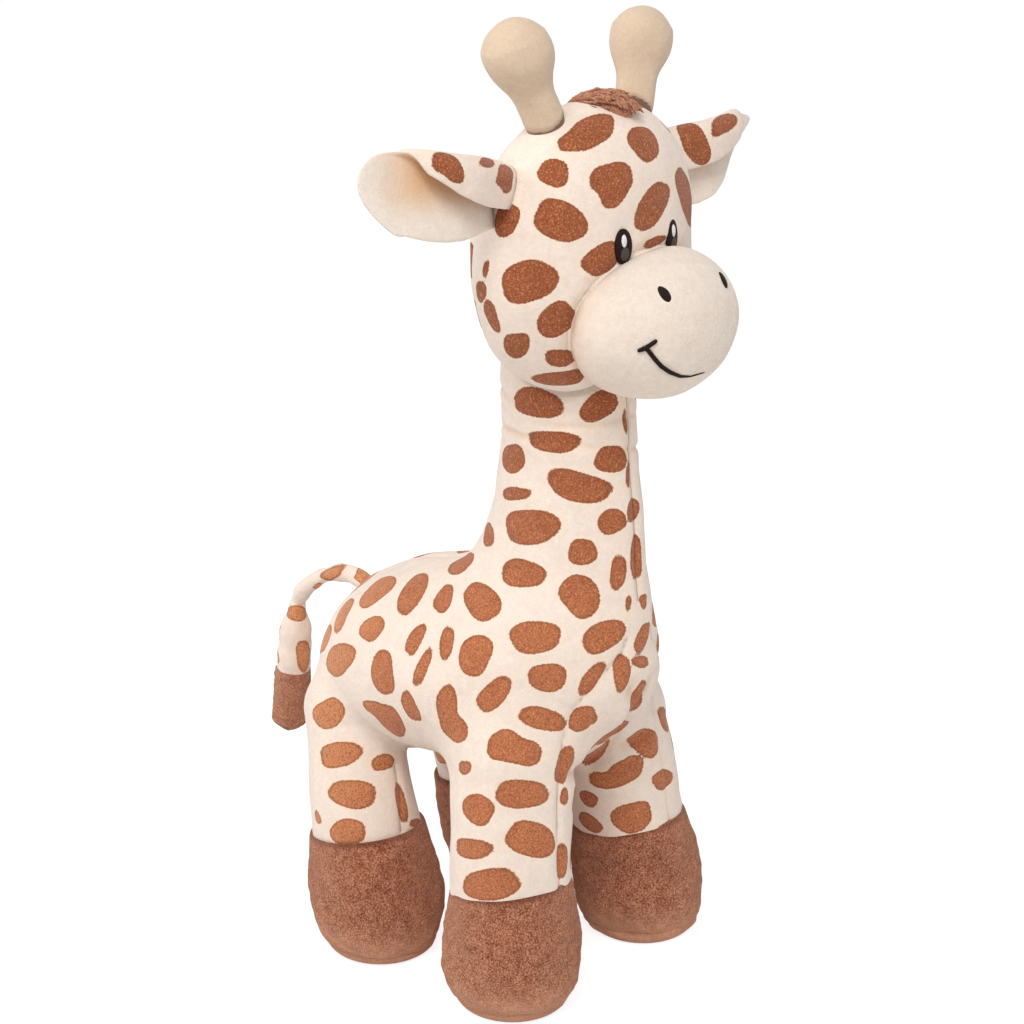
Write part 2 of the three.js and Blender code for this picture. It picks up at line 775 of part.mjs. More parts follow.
const toy = new THREE.Group();
toy.add(...makeBody());
for (const place of legPlaces) toy.add(...makeLeg(place));
toy.add(...makeHead());
toy.add(...makeFace());
const headCutter = headForm(clearance, headRows, roundSides);
for (const [name, side] of [["right", -1], ["left", 1]]) {
  toy.add(...makeHorn(side, name, headCutter));
  toy.add(...makeEar(side, name));
}
toy.add(makeTuft(headCutter));
toy.add(...makeTail());

// The origin moves to the middle of the outline's footprint.
const outline = new THREE.Box3().setFromObject(toy);
toy.position.y = -(outline.min.y + outline.max.y) / 2;
const giraffe = new THREE.Group();
giraffe.name = "giraffe";
giraffe.add(toy);

export default giraffe;
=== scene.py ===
"""A stuffed toy giraffe in printed velour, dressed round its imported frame."""
import math

import bpy
import numpy as np
from bpy.props import FloatProperty, FloatVectorProperty, PointerProperty
from mathutils import Matrix, Vector


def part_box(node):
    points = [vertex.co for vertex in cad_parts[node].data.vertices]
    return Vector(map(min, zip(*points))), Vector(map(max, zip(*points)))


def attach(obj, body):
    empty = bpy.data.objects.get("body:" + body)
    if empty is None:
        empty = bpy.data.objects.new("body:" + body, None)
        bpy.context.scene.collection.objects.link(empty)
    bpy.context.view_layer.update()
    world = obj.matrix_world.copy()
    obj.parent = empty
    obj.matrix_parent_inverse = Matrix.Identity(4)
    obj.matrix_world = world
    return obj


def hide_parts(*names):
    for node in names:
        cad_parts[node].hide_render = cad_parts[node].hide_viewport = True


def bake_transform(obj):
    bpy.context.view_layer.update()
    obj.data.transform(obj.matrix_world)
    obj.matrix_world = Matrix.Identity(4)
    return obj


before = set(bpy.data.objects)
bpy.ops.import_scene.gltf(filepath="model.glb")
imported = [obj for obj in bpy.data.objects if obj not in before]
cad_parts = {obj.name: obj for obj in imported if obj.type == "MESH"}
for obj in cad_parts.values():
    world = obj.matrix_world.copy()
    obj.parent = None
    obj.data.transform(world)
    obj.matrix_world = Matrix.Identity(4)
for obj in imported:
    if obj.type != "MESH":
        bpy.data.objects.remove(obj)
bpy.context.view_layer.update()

bl_info = {
    "name": "Plush giraffe",
    "version": (1, 0, 0),
    "blender": (4, 5, 0),
    "location": "3D View > Sidebar > Giraffe",
    "description": "Builds a stuffed toy giraffe piece by piece",
    "category": "Object",
}

# Everything is worked out in millimetres from the middle of the four soles, and put into the
# meshes in metres. The giraffe faces -Y, and its left side is at +X.
MM = 0.001
LEGS = {
    "front_right": (-1, -1),
    "front_left": (1, -1),
    "hind_right": (-1, 1),
    "hind_left": (1, 1),
}
SIDES = {"right": -1, "left": 1}
SOLES = [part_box(leg + "_sole") for leg in LEGS]
FORWARD = float(np.mean([(low.y + high.y) / 2 for low, high in SOLES])) / MM
X, Y, Z = np.eye(3)

# The camera that took the photograph, in the same millimetres, and its picture in pixels
CAMERA_PLACE = np.array([-589.3, -478.9, 409.1])
CAMERA_TARGET = np.array([0.88, -1.09, 169.3])
FOCAL_PIXELS = 2190.4
PICTURE = 1024
SENSOR = 36.0


# Sizes and colours


def length(name, mm, description):
    """A size in metres whose default is given in millimetres."""
    return FloatProperty(
        name=name, description=description, default=mm * MM, min=0.0, precision=4, unit="LENGTH"
    )


def paint(name, red, green, blue, description):
    """A colour from 0 to 255 as a screen shows it, kept as linear light."""
    linear = [((value / 255 + 0.055) / 1.055) ** 2.4 for value in (red, green, blue)]
    return FloatVectorProperty(
        name=name, description=description, default=linear, min=0.0, max=1.0, size=3, subtype="COLOR"
    )


class GiraffeSizes(bpy.types.PropertyGroup):
    """Sizes of the sewn pieces."""

    body_length: length("Body length", 131, "The body along its spine")
    body_width: length("Body width", 96, "The body from side to side")
    body_depth: length("Body depth", 75, "The body from back to belly")
    body_height: length("Body height", 111.5, "The middle of the body above the floor")
    neck_width: length("Neck width", 36.5, "The neck from side to side, under the head")
    neck_depth: length("Neck depth", 53, "The neck from front to back, under the head")
    head_width: length("Head width", 95, "The head from cheek to cheek")
    head_depth: length("Head depth", 62, "The head from face to back")
    head_height: length("Head height", 99, "The head from crown to chin")
    muzzle_width: length("Muzzle width", 69.5, "The muzzle from side to side")
    muzzle_depth: length("Muzzle depth", 49, "The muzzle from front to back")
    muzzle_height: length("Muzzle height", 51, "The muzzle from top to bottom")
    leg_radius: length("Leg radius", 21.4, "Half the width of a leg at its boot")
    boot_radius: length("Boot radius", 25.4, "Half the width of a boot at its widest")
    boot_height: length("Boot height", 46, "The boots' top edge above the floor")
    horn_knob: length("Horn knob radius", 11.7, "Half the width of a horn's round knob")
    horn_stem: length("Horn stem radius", 6.8, "Half the width of a horn's stem")
    tail_radius: length("Tail radius", 5.6, "Half the width of the tail's hanging stretch")
    stitch: length("Stitch height", 0.6, "How far embroidery stands out")
    pile: length("Pile length", 0.5, "How deep the short pile is")
    boot_pile: length("Boot pile length", 1.1, "How deep the boots' pile is")


class GiraffeColours(bpy.types.PropertyGroup):
    """Colours of the cloth and the thread, and of the shade and light painted on them."""

    cream: paint("Cream", 250, 233, 219, "Ground of the printed velour")
    plain: paint("Plain cream", 248, 234, 220, "Muzzle and ear linings")
    horn: paint("Horn cream", 222, 198, 172, "Horns")
    spot: paint("Spot", 186, 113, 76, "Printed spots")
    # Painted shade: the spots' colour over the neck and head, darker than the same print lower down.
    spot_high: paint("Upper spot", 156, 86, 54, "Printed spots of the neck and head")
    # Also the colour, at half brightness, of the shade painted along seams and where parts meet.
    spot_dark: paint("Dark spot pile", 132, 72, 44, "Dark hairs in the spots")
    # Also the colour of the light painted on the lower spots of the rear body.
    spot_light: paint("Light spot pile", 226, 158, 112, "Light hairs in the spots")
    edge: paint("Edge", 232, 186, 156, "Cream cloth seen from the side")
    halo: paint("Spot halo", 252, 226, 196, "Paler ground close round each spot")
    # Painted warm shade: in each ear's lining under its fold, low on the muzzle beside the head, and in
    # creases of the neck and chest.
    warm_shade: paint("Warm hollow", 226, 178, 128, "The lining under each ear's fold")
    boot: paint("Boot", 186, 114, 84, "Deep pile of boots, forelock and tail end")
    boot_dark: paint("Dark boot pile", 100, 46, 28, "Hollows of the deep pile")
    # Also the colour of the light painted low on the boots.
    boot_light: paint("Light boot pile", 238, 178, 146, "Brushed hairs of the deep pile")
    thread: paint("Thread", 34, 18, 13, "Eyes, nostrils and mouth")
    iris: paint("Eye", 86, 74, 66, "Lower part of each eye")
    glint: paint("Glint", 246, 246, 244, "White stitches in each eye")


def sizes():
    """The scene's sizes in millimetres, by name."""
    held = bpy.context.scene.giraffe_sizes
    return {name: getattr(held, name) / MM for name in held.__annotations__}


def colours():
    """The scene's colours as linear red, green and blue, by name."""
    held = bpy.context.scene.giraffe_colours
    return {name: tuple(getattr(held, name)) for name in held.__annotations__}


# Helpers


def unit(vector):
    """Vectors scaled to a length of one."""
    return vector / np.linalg.norm(vector, axis=-1, keepdims=True)


def round_end(share, power=2.0):
    """The radius of a rounded end as a share: 1 at its start and nearly 0 at its tip."""
    return np.sqrt(np.clip(1 - share**power, 0.004, 1))


def surface_way(form, point, tiny=0.05):
    """The way that a form faces at a point, from the slope of its distance there."""
    return unit(np.stack([form(point + tiny * d) - form(point - tiny * d) for d in (X, Y, Z)], -1))


# Forms, as distances that are below zero inside


def step(value, low, high):
    """0 below low, 1 above high, and a smooth S between them."""
    t = np.clip((value - low) / (high - low), 0, 1)
    return t * t * (3 - 2 * t)


def soft_clip(value, soft=0.12):
    """A value held between 0 and 1, with its two corners rounded off by a parabola."""

    def ramp(t):
        return np.where(t < -soft, 0, np.where(t > soft, t, (t + soft) ** 2 / (4 * soft)))

    return ramp(value) - ramp(value - 1)


def join(a, b, reach):
    """The smaller of two distances, with the corner between them filled over that reach."""
    gap = np.maximum(reach - np.abs(a - b), 0) / reach
    return np.minimum(a, b) - gap * gap * reach / 4


def blunt_egg(p, middle, half, power, axis, lean=0.0):
    """Distance to an egg: along its axis a superellipse of that power, across it an ellipse. Its
    middle line drops by lean at one end and rises by lean at the other."""
    q = p - middle
    along = q[..., axis] / half[axis]
    q[..., 2] -= lean * along
    one, two = [k for k in range(3) if k != axis]
    across = np.hypot(q[..., one] / half[one], q[..., two] / half[two])
    size = (np.abs(along) ** power + across**power) ** (1 / power)
    return np.linalg.norm(q, axis=-1) * (1 - 1 / np.maximum(size, 1e-6))


class Forms:
    """The toy's main forms as distances in millimetres."""

    body_back = 11.0
    body_lean = -7.5
    neck_front = 53.5
    flare_rise = 36.5
    flare_height = 62.0
    hip_drop = 23.5
    foot_across, hip_across, foot_along = 37.6, 28.5, 32.9
    hip_back = {-1: 8.0, 1: 16.0}
    foot_outward = {(1, 1): 2.0, (-1, -1): 1.0}
    head_rise, head_forward = 159.5, 33.0
    head_bluntness, muzzle_bluntness = 2.3, 2.15
    muzzle_offset = [-0.6, -30.0, -22.0]
    tail_root_offset = [0, 58.0, 14.5]
    tail_kink_offset = [0, 39.9, -16.0]
    tail_end_offset = [0, 7.2, -57.0]

    def __init__(self, size):
        self.size = size
        self.body_half = np.array([size["body_width"], size["body_length"], size["body_depth"]]) / 2
        self.body_middle = np.array([0, self.body_back, size["body_height"]])
        self.head_half = np.array([size["head_width"], size["head_depth"], size["head_height"]]) / 2
        self.head_middle = np.array([0, -self.head_forward, size["body_height"] + self.head_rise])
        self.muzzle_half = (
            np.array([size["muzzle_width"], size["muzzle_depth"], size["muzzle_height"]]) / 2
        )
        self.muzzle_middle = self.head_middle + self.muzzle_offset
        self.hip_height = size["body_height"] - self.hip_drop
        self.tail_root = self.body_middle + self.tail_root_offset
        self.tail_kink = self.tail_root + self.tail_kink_offset
        self.tail_end = self.tail_kink + self.tail_end_offset

    def body(self, p):
        """The body's egg, whose front end is narrower than its rump."""
        narrow = 1 + 0.16 * step(self.body_back - p[..., 1], 12, 66)
        wide = np.stack([p[..., 0] * narrow, p[..., 1], p[..., 2]], -1)
        return blunt_egg(wide, self.body_middle, self.body_half, 2.5, 1, self.body_lean)

    def neck(self, p):
        """An upright oval column that swells towards the body, rounded off at its foot and, inside
        the head, at its top."""
        start = self.size["body_height"] + self.flare_rise
        flare = soft_clip(1 - (p[..., 2] - start) / self.flare_height)
        half_depth = (self.size["neck_depth"] + 19 * flare**1.6) / 2
        half_width = (self.size["neck_width"] + 13 * flare**3) / 2
        y = p[..., 1] - (half_depth - self.neck_front - 6 * flare)
        size = np.hypot(p[..., 0] / half_width, y / half_depth)
        side = np.hypot(p[..., 0], y) * (1 - 1 / np.maximum(size, 1e-6))
        column = -join(-side, p[..., 2] - (self.size["body_height"] - 8), 26)
        return -join(-column, self.head_middle[2] - 16 - p[..., 2], 34)

    def trunk(self, p):
        return join(self.body(p), self.neck(p), 18)

    def leg_middle(self, leg, height):
        """The middle of a leg at a height: it leans out and forward on its way down."""
        side, back = leg
        share = np.clip(height / self.hip_height, 0, 1)
        foot_across = self.foot_across + self.foot_outward.get(leg, 0.0)
        across = foot_across + (self.hip_across - foot_across) * share**2
        shift = -1.6 + 6.5 * share if back > 0 else -0.4
        if leg == (1, -1):
            shift = shift - 2.6 * np.clip(1 - height / 45, -0.25, 1)
        along = back * self.foot_along + shift + self.hip_back[back] * share**1.5
        return np.stack([side * across, along, height], -1)

    def leg(self, p, leg):
        """A leaning round column with a ball at the hip."""
        middle = self.leg_middle(leg, np.minimum(p[..., 2], self.hip_height))
        share = np.clip(p[..., 2] / self.hip_height, 0, 1)
        if leg[1] < 0:
            radius = self.size["leg_radius"] + 0.8 * share
        else:
            radius = self.size["leg_radius"] - 3.5 * step(share, 0.35, 1.0)
        side = np.hypot(p[..., 0] - middle[..., 0], p[..., 1] - middle[..., 1]) - radius
        ball = np.linalg.norm(p - self.leg_middle(leg, np.array(self.hip_height)), axis=-1) - radius
        return np.where(p[..., 2] < self.hip_height, side, ball)

    def crown_lean(self, p):
        """How far forward the upper head leans, most at its back."""
        up = step(p[..., 2] - self.head_middle[2], 6, 44)
        return up * (2.6 + 4.6 * step(p[..., 1] - self.head_middle[1], -12, 32))

    def head(self, p):
        upright = p + Y * self.crown_lean(p)[..., None]
        return blunt_egg(upright, self.head_middle, self.head_half, self.head_bluntness, 2)

    def muzzle(self, p):
        return blunt_egg(p, self.muzzle_middle, self.muzzle_half, self.muzzle_bluntness, 1)


# Grids of points, with rows along a piece and columns round it


def reach_out(field, start, direction, far, rounds=20):
    """How far each ray runs from inside a form to its surface, by halving the stretch that
    holds the crossing. Where a ray is still inside at its farthest, it ends there."""
    low = np.zeros(direction.shape[:-1])
    high = np.broadcast_to(far, low.shape).astype(float)
    ends_inside = field(start + direction * high[..., None]) < 0
    for _ in range(rounds):
        middle = (low + high) / 2
        inside = field(start + direction * middle[..., None]) < 0
        low, high = np.where(inside, middle, low), np.where(inside, high, middle)
    return np.where(ends_inside, far, (low + high) / 2)


def first_out(field, start, direction, far, steps=26):
    """The first crossing on each ray, found on even steps and then by halving."""
    shares = np.arange(1, steps + 1) / steps
    near, beyond = np.zeros(direction.shape[:-1]), np.broadcast_to(far, direction.shape[:-1])
    found = np.zeros(near.shape, bool)
    low, high = near.copy(), beyond.astype(float).copy()
    for share in shares:
        reach = beyond * share
        outside = field(start + direction * reach[..., None]) > 0
        new = outside & ~found
        high[new] = reach[new]
        found |= outside
        low[~found] = reach[~found]
    for _ in range(12):
        middle = (low + high) / 2
        inside = field(start + direction * middle[..., None]) < 0
        low, high = np.where(inside, middle, low), np.where(inside, high, middle)
    return np.where(found, (low + high) / 2, beyond)


def circle(columns):
    return np.linspace(0, 2 * np.pi, columns, endpoint=False)


def rings(middle, across, up, radius_across, radius_up, columns):
    """Ovals about points of a path: the middle plus cosine times across plus sine times up."""
    turn = circle(columns)
    cos, sin = np.cos(turn)[None, :, None], np.sin(turn)[None, :, None]
    wide = np.asarray(radius_across)[:, None, None] if np.ndim(radius_across) else radius_across
    tall = np.asarray(radius_up)[:, None, None] if np.ndim(radius_up) else radius_up
    return middle[:, None] + across[:, None] * cos * wide + up[:, None] * sin * tall


def egg_grid(middle, half, power, axis, rows, columns):
    """Rings of an egg, spaced by the cosine of an angle, along one of its axes."""
    share = -np.cos(np.linspace(0.012, 1 - 0.012, rows) * np.pi)
    size = (1 - np.abs(share) ** power) ** (1 / power)
    one, two = [k for k in range(3) if k != axis]
    turn = circle(columns)
    points = np.zeros((rows, columns, 3))
    points[..., axis] = half[axis] * share[:, None]
    points[..., one] = half[one] * size[:, None] * np.cos(turn)
    points[..., two] = half[two] * size[:, None] * np.sin(turn)
    return points + middle


def trunk_grid(forms, columns=232, fan_rows=200):
    """Rings of the body and neck. Their planes stand upright along the rump, fan out about a
    line behind the neck, and lie level up the neck. In each plane, rays run from a middle path
    to the joined surface."""
    hinge = np.array([0, 45.0, forms.size["body_height"] + 83.5])
    rump_end = forms.body_back + forms.body_half[1] - 0.15
    turn = np.linspace(np.pi / 2 - 0.05, 0, 40, endpoint=False)
    along = hinge[1] + (rump_end - hinge[1]) * np.sin(turn)
    lean = forms.body_lean * (along - forms.body_back) / forms.body_half[1]
    rump = np.stack([0 * along, along, forms.size["body_height"] + lean], -1)
    rump_up = np.tile(Z, (len(rump), 1))
    share = np.linspace(0, 1, fan_rows)
    angle = -np.pi / 2 - share * np.pi / 2
    away = np.stack([0 * angle, np.cos(angle), np.sin(angle)], -1)
    distance = 84 * (1 - share) + 72 * share + 48 * share * (1 - share)
    fan = hinge + away * distance[:, None]
    top = forms.head_middle[2] - 25
    height = np.arange(hinge[2] + 0.9, top, 0.9)
    neck = np.stack([0 * height, 0 * height + hinge[1] - 72, height], -1)
    neck_up = np.tile(Y, (len(neck), 1))
    middle = np.concatenate([rump, fan, neck])[:, None]
    up = np.concatenate([rump_up, -away, neck_up])[:, None]
    angle = circle(columns)[None, :, None]
    direction = np.cos(angle) * X + np.sin(angle) * up
    reach = reach_out(forms.trunk, middle, direction, 70.0)
    return middle + direction * reach[..., None]


def leg_grid(forms, leg, columns=136):
    """Level rings up a leg and then a dome of rays from the hip. The leg swells into the body,
    and dives under the body's skin where the swelling ends."""
    side, _ = leg
    low = forms.size["boot_height"] - 12
    height = np.arange(low, forms.hip_height, 0.95)
    rise = np.linspace(0, 0.985, 44) * np.pi / 2
    middle = forms.leg_middle(leg, np.concatenate([height, np.full(len(rise), forms.hip_height)]))
    tilt = np.concatenate([np.zeros(len(height)), rise])[:, None, None]
    turn = circle(columns)[None, :, None]
    direction = np.cos(tilt) * (np.cos(turn) * X + np.sin(turn) * Y) + np.sin(tilt) * Z
    middle = middle[:, None]

    def swollen(p):
        return join(forms.trunk(p) + 0.35, forms.leg(p, leg), 16 if leg[1] < 0 else 7)

    inward = -side * direction[..., 0]
    to_centre = np.abs(middle[..., 0]) / np.maximum(inward, 1e-3)
    far = np.minimum(37.0, np.where(inward > 0, to_centre, 99.0))
    reach = first_out(swollen, middle, direction, far)
    return middle + direction * reach[..., None]


def grid_normals(points):
    """Outward directions of a closed round grid, from its two directions of travel."""
    along = np.gradient(points, axis=0)
    around = np.roll(points, -1, 1) - np.roll(points, 1, 1)
    normal = np.cross(around, along)
    normal /= np.maximum(np.linalg.norm(normal, axis=-1, keepdims=True), 1e-9)
    outward = points - points.mean(1, keepdims=True)
    return -normal if np.sum(normal * outward) < 0 else normal


def softness(p, size=1.0):
    """Slow uneven swelling of stuffed cloth: a sum of waves through space, about 1 high."""
    x, y, z = p[..., 0], p[..., 1], p[..., 2]
    return size * (
        0.45 * np.sin(0.131 * x + 0.083 * y + 0.061 * z + 0.7)
        + 0.35 * np.sin(0.077 * y - 0.192 * z + 0.093 * x + 2.1)
        + 0.25 * np.sin(0.231 * z + 0.203 * x - 0.117 * y + 4.0)
        + 0.15 * np.sin(0.411 * x - 0.353 * z + 0.371 * y + 1.3)
    )


# The camera's picture of the toy


def camera_axes():
    """The camera's directions to the right, up and into the picture."""
    ahead = unit(CAMERA_TARGET - CAMERA_PLACE)
    right = unit(np.cross(ahead, Z))
    return right, np.cross(right, ahead), ahead


def to_picture(p):
    """Pixels across and down of points, and their depth from the camera."""
    right, up, ahead = camera_axes()
    offset = p - CAMERA_PLACE
    depth = offset @ ahead
    across = PICTURE / 2 + FOCAL_PIXELS * (offset @ right) / depth
    down = PICTURE / 2 - FOCAL_PIXELS * (offset @ up) / depth
    return across, down, depth


class Skin:
    """Points and outward directions of some grids, as the camera sees them."""

    def __init__(self, grids):
        self.points = np.concatenate([g.reshape(-1, 3) for g in grids.values()])
        self.normals = np.concatenate([grid_normals(g).reshape(-1, 3) for g in grids.values()])
        self.names = np.concatenate([[name] * (g.size // 3) for name, g in grids.items()])
        self.across, self.down, self.depth = to_picture(self.points)
        view = CAMERA_PLACE - self.points
        self.facing = np.sum(self.normals * view, -1) / np.linalg.norm(view, axis=-1)

    def pick(self, x, y, names=None):
        """The nearest skin point under a pixel that faces the camera."""
        near = (np.abs(self.across - x) < 3.2) & (np.abs(self.down - y) < 3.2) & (self.facing > 0.02)
        if names is not None:
            near &= np.isin(self.names, names)
        found = np.nonzero(near)[0]
        if not len(found):
            return None
        first = found[self.depth[found] < self.depth[found].min() + 4]
        miss = np.hypot(self.across[first] - x, self.down[first] - y)
        return first[np.argmin(miss)]

    def depth_map(self, cell=4):
        """The nearest depth in each cell of the picture."""
        count = PICTURE // cell + 2
        nearest = np.full((count, count), np.inf)
        column = np.clip((self.across / cell).astype(int), 0, count - 1)
        row = np.clip((self.down / cell).astype(int), 0, count - 1)
        np.minimum.at(nearest, (row, column), self.depth)
        return nearest, row, column


# The print

# Spots on the side that the photograph shows: pixels across and down, half the long way, half
# the short way, and the tilt of the long way in degrees, anticlockwise. Those in a list of
# their own grow together into one bean or one drop.
HEAD_SPOTS = [
    [(594, 129, 23, 15, 22), (573, 142, 15, 8, 10)], (553, 173, 16, 14, -19),
    [(612, 180, 21, 17, 6), (612, 194, 15, 11, 90)], (645, 143, 19, 13, -62),
    (653, 206, 26, 13, 62), (688, 198, 32, 6, -78),
    (562, 222, 27, 20, -28), (528, 282, 28, 21, 20), (556, 320, 21, 16, 32), (515, 346, 13, 13, 0),
    (560, 358, 16, 8, -4), (559, 379, 27, 7, 3), (506, 219, 17, 12, 75), (603, 258, 22, 14, 36),
    (656, 242, 14, 5, 24), (486, 268, 9, 3, 86), (482, 291, 11, 5, 90), (491, 316, 17, 6, -72),
]
TRUNK_SPOTS = [
    (536, 403, 26, 14, -12), (600, 405, 21, 13, 32), (553, 442, 26, 11, -3), (512, 458, 15, 11, -81),
    (611, 460, 16, 14, 0), (626, 422, 13, 3, -86), (577, 487, 33, 15, -17), (516, 493, 15, 7, 2),
    (612, 521, 15, 12, 30), (633, 510, 12, 6, 80), (530, 527, 27, 18, 5), (583, 552, 15, 13, -3),
    (637, 557, 22, 6, -88), (619, 574, 18, 8, 85), (522, 573, 22, 14, -11), (579, 596, 22, 19, -47),
    (482, 601, 21, 16, -50), (489, 535, 12, 5, 90), (630, 475, 14, 3, 88), (644, 601, 8, 3, 85),
    (629, 602, 8, 3, 85), (534, 637, 26, 16, 5), (605, 636, 23, 14, 26), (476, 655, 21, 16, 73),
    (546, 678, 20, 14, 0), (494, 695, 21, 12, 45), (543, 718, 25, 11, -12), (584, 718, 15, 10, 22),
    [(447, 706, 20, 11, -80), (455, 729, 14, 11, -50)], [(504, 746, 17, 16, 0), (525, 753, 19, 13, -8)],
    (463, 768, 7, 7, 0), (523, 793, 26, 15, 0), (477, 808, 17, 14, -36), (446, 642, 17, 7, 80),
    (422, 669, 20, 6, 70), (415, 638, 18, 7, 62), (377, 591, 22, 9, 38), (413, 591, 24, 10, 60),
    (443, 598, 15, 8, 60), (461, 563, 15, 7, 40), (343, 614, 20, 5, 65), (323, 640, 15, 3, 72),
    (372, 628, 14, 10, 52), (338, 659, 18, 12, 60), (382, 674, 22, 12, -85), (327, 713, 18, 14, 38),
    [(392, 723, 18, 9, -52), (375, 709, 13, 6, -28)], (411, 706, 17, 7, -65), (338, 756, 21, 13, 8),
    (384, 761, 12, 8, 20), (353, 793, 24, 14, -9), (400, 803, 20, 5, -78), (416, 823, 6, 4, 20),
    (346, 832, 18, 13, 0), (318, 817, 7, 3, -75), (472, 848, 19, 10, -8), (533, 841, 24, 18, -18),
    (490, 884, 29, 16, 8), (562, 862, 18, 5, 86), (565, 797, 9, 3, 88), (592, 680, 21, 8, 55),
    (620, 673, 19, 8, 85), (597, 753, 19, 6, 40), (563, 765, 20, 7, 74), (642, 637, 16, 6, 68),
    (640, 660, 9, 6, 0), (639, 699, 18, 5, 70), (664, 719, 13, 4, -75), (646, 742, 17, 13, -35),
    [(629, 770, 17, 12, 22), (606, 780, 18, 8, -4)], (663, 779, 11, 9, 45), (588, 798, 10, 7, -35),
    (633, 816, 21, 15, 18), (590, 822, 14, 7, -40), (668, 826, 11, 5, 25),
]
TAIL_SPOTS = [
    (331, 574, 11, 6, 20), (367, 574, 11, 8, -20), (297, 614, 10, 8, -10), (305, 656, 16, 7, 90),
]
EAR_SPOTS = {
    "right": [
        [(446, 161, 12, 9, -20), (454, 171, 13, 9, -55)], (487, 161, 8, 5, -10),
        [(504, 175, 11, 8, 70), (509, 186, 8, 4, 80)],
    ],
    "left": [[(690, 134, 15, 11, -60), (699, 150, 15, 12, -60)], (724, 122, 14, 9, 30)],
}


def along_cloth(outward):
    """Two ways along the cloth, square to each other and to the outward direction."""
    one = unit(np.cross(outward, X if abs(outward[0]) < 0.8 else Z))
    return one, np.cross(outward, one)


class Print:
    """The printed spots as ovals that lie on the cloth. Each has a middle, an outward direction,
    and two rows that turn a step along the cloth into shares of its half sizes."""

    def __init__(self):
        self.middles, self.outward, self.rows, self.widths, self.groups = [], [], [], [], []

    def add(self, middle, outward, rows, group=None):
        spread = np.linalg.svd(rows)[1]
        self.middles.append(middle)
        self.outward.append(outward)
        self.rows.append(rows)
        self.widths.append(1 / spread)
        self.groups.append(len(self.groups) if group is None else group)

    def add_seen(self, skin, spots, names=None):
        """All the ovals of a list of pixel spots, some of them in groups."""
        for item in spots:
            group = None
            for spot in item if isinstance(item, list) else [item]:
                count = len(self.groups)
                self.add_pixel(skin, spot, names, group)
                if len(self.groups) > count:
                    group = self.groups[-1]

    def add_pixel(self, skin, spot, names=None, group=None):
        """The oval on the cloth that the camera sees as this oval of pixels. The camera's
        slopes at the place turn steps along the cloth into pixels."""
        x, y, long, short, tilt = spot
        found = skin.pick(x, y, names)
        if found is None:
            return
        middle, outward = skin.points[found], skin.normals[found]
        right, up, ahead = camera_axes()
        offset = middle - CAMERA_PLACE
        depth = offset @ ahead
        slope_x = FOCAL_PIXELS / depth * (right - ahead * (offset @ right) / depth)
        slope_y = FOCAL_PIXELS / depth * (up - ahead * (offset @ up) / depth)
        one, two = along_cloth(outward)
        turn = math.radians(tilt)
        squeeze = np.array([[math.cos(turn) / long, math.sin(turn) / long],
                            [-math.sin(turn) / short, math.cos(turn) / short]])
        slopes = np.array([[slope_x @ one, slope_x @ two], [slope_y @ one, slope_y @ two]])
        left, spread, turned = np.linalg.svd(squeeze @ slopes)
        spread = np.maximum(spread, max(1 / 15.0, spread[0] / 3.2))
        flat = left @ np.diag(spread) @ turned
        self.add(middle, outward, flat @ np.array([one, two]), group)

    def add_round(self, middle, outward, long, short, turn, group=None):
        """An oval of that half length and half width at an angle on the cloth."""
        one, two = along_cloth(outward)
        rows = np.array([(math.cos(turn) * one + math.sin(turn) * two) / long,
                         (-math.sin(turn) * one + math.cos(turn) * two) / short])
        self.add(middle, outward, rows, group)

    def room(self, place, size, gap):
        """Whether an oval of that mean size would stand clear of the others."""
        if not self.middles:
            return True
        distance = np.linalg.norm(np.array(self.middles) - place, axis=-1)
        radius = np.array([width.mean() for width in self.widths])
        return bool(np.all(distance > radius + size + gap))

    def depth(self, points, normals):
        """How far inside a spot each point is, in millimetres, or how far outside as a negative
        number: one less the length of the step in shares of an uneven oval, times its size.
        Between two groups of ovals that meet, a thin line of cream is left."""
        flat, facing = points.reshape(-1, 3), normals.reshape(-1, 3)
        best, second = np.full(len(flat), -4.0), np.full(len(flat), -4.0)
        for group in sorted(set(self.groups)):
            field, touched = np.full(len(flat), -4.0), []
            for k in [k for k, held in enumerate(self.groups) if held == group]:
                middle, outward, rows, width = (
                    self.middles[k], self.outward[k], self.rows[k], self.widths[k]
                )
                near = np.nonzero(np.linalg.norm(flat - middle, axis=-1) < 1.5 * width.max() + 5)[0]
                near = near[facing[near] @ outward > 0.1]
                offset = flat[near] - middle
                share = offset @ rows.T
                angle = np.arctan2(share[:, 1], share[:, 0])
                edge = 1 + 0.03 * np.sin(2 * angle + 2.4 * k) + 0.045 * np.sin(3 * angle + 1.7 * k)
                edge += 0.015 * np.sin(5 * angle + 0.9 * k)
                blunt = (np.abs(share[:, 0]) ** 2.35 + np.abs(share[:, 1]) ** 2.35) ** (1 / 2.35)
                inside = (edge - blunt) * width.min() * 0.9
                inside -= np.maximum(np.abs(offset @ outward) - 0.8 * width.max(), 0)
                field[near] = -join(-field[near], -inside, 3.0)
                touched.append(near)
            near = np.unique(np.concatenate(touched))
            second[near] = np.maximum(second[near], np.minimum(best[near], field[near]))
            best[near] = np.maximum(best[near], field[near])
        return np.minimum(best, 0.7 * (best - second) - 0.3).reshape(points.shape[:-1])


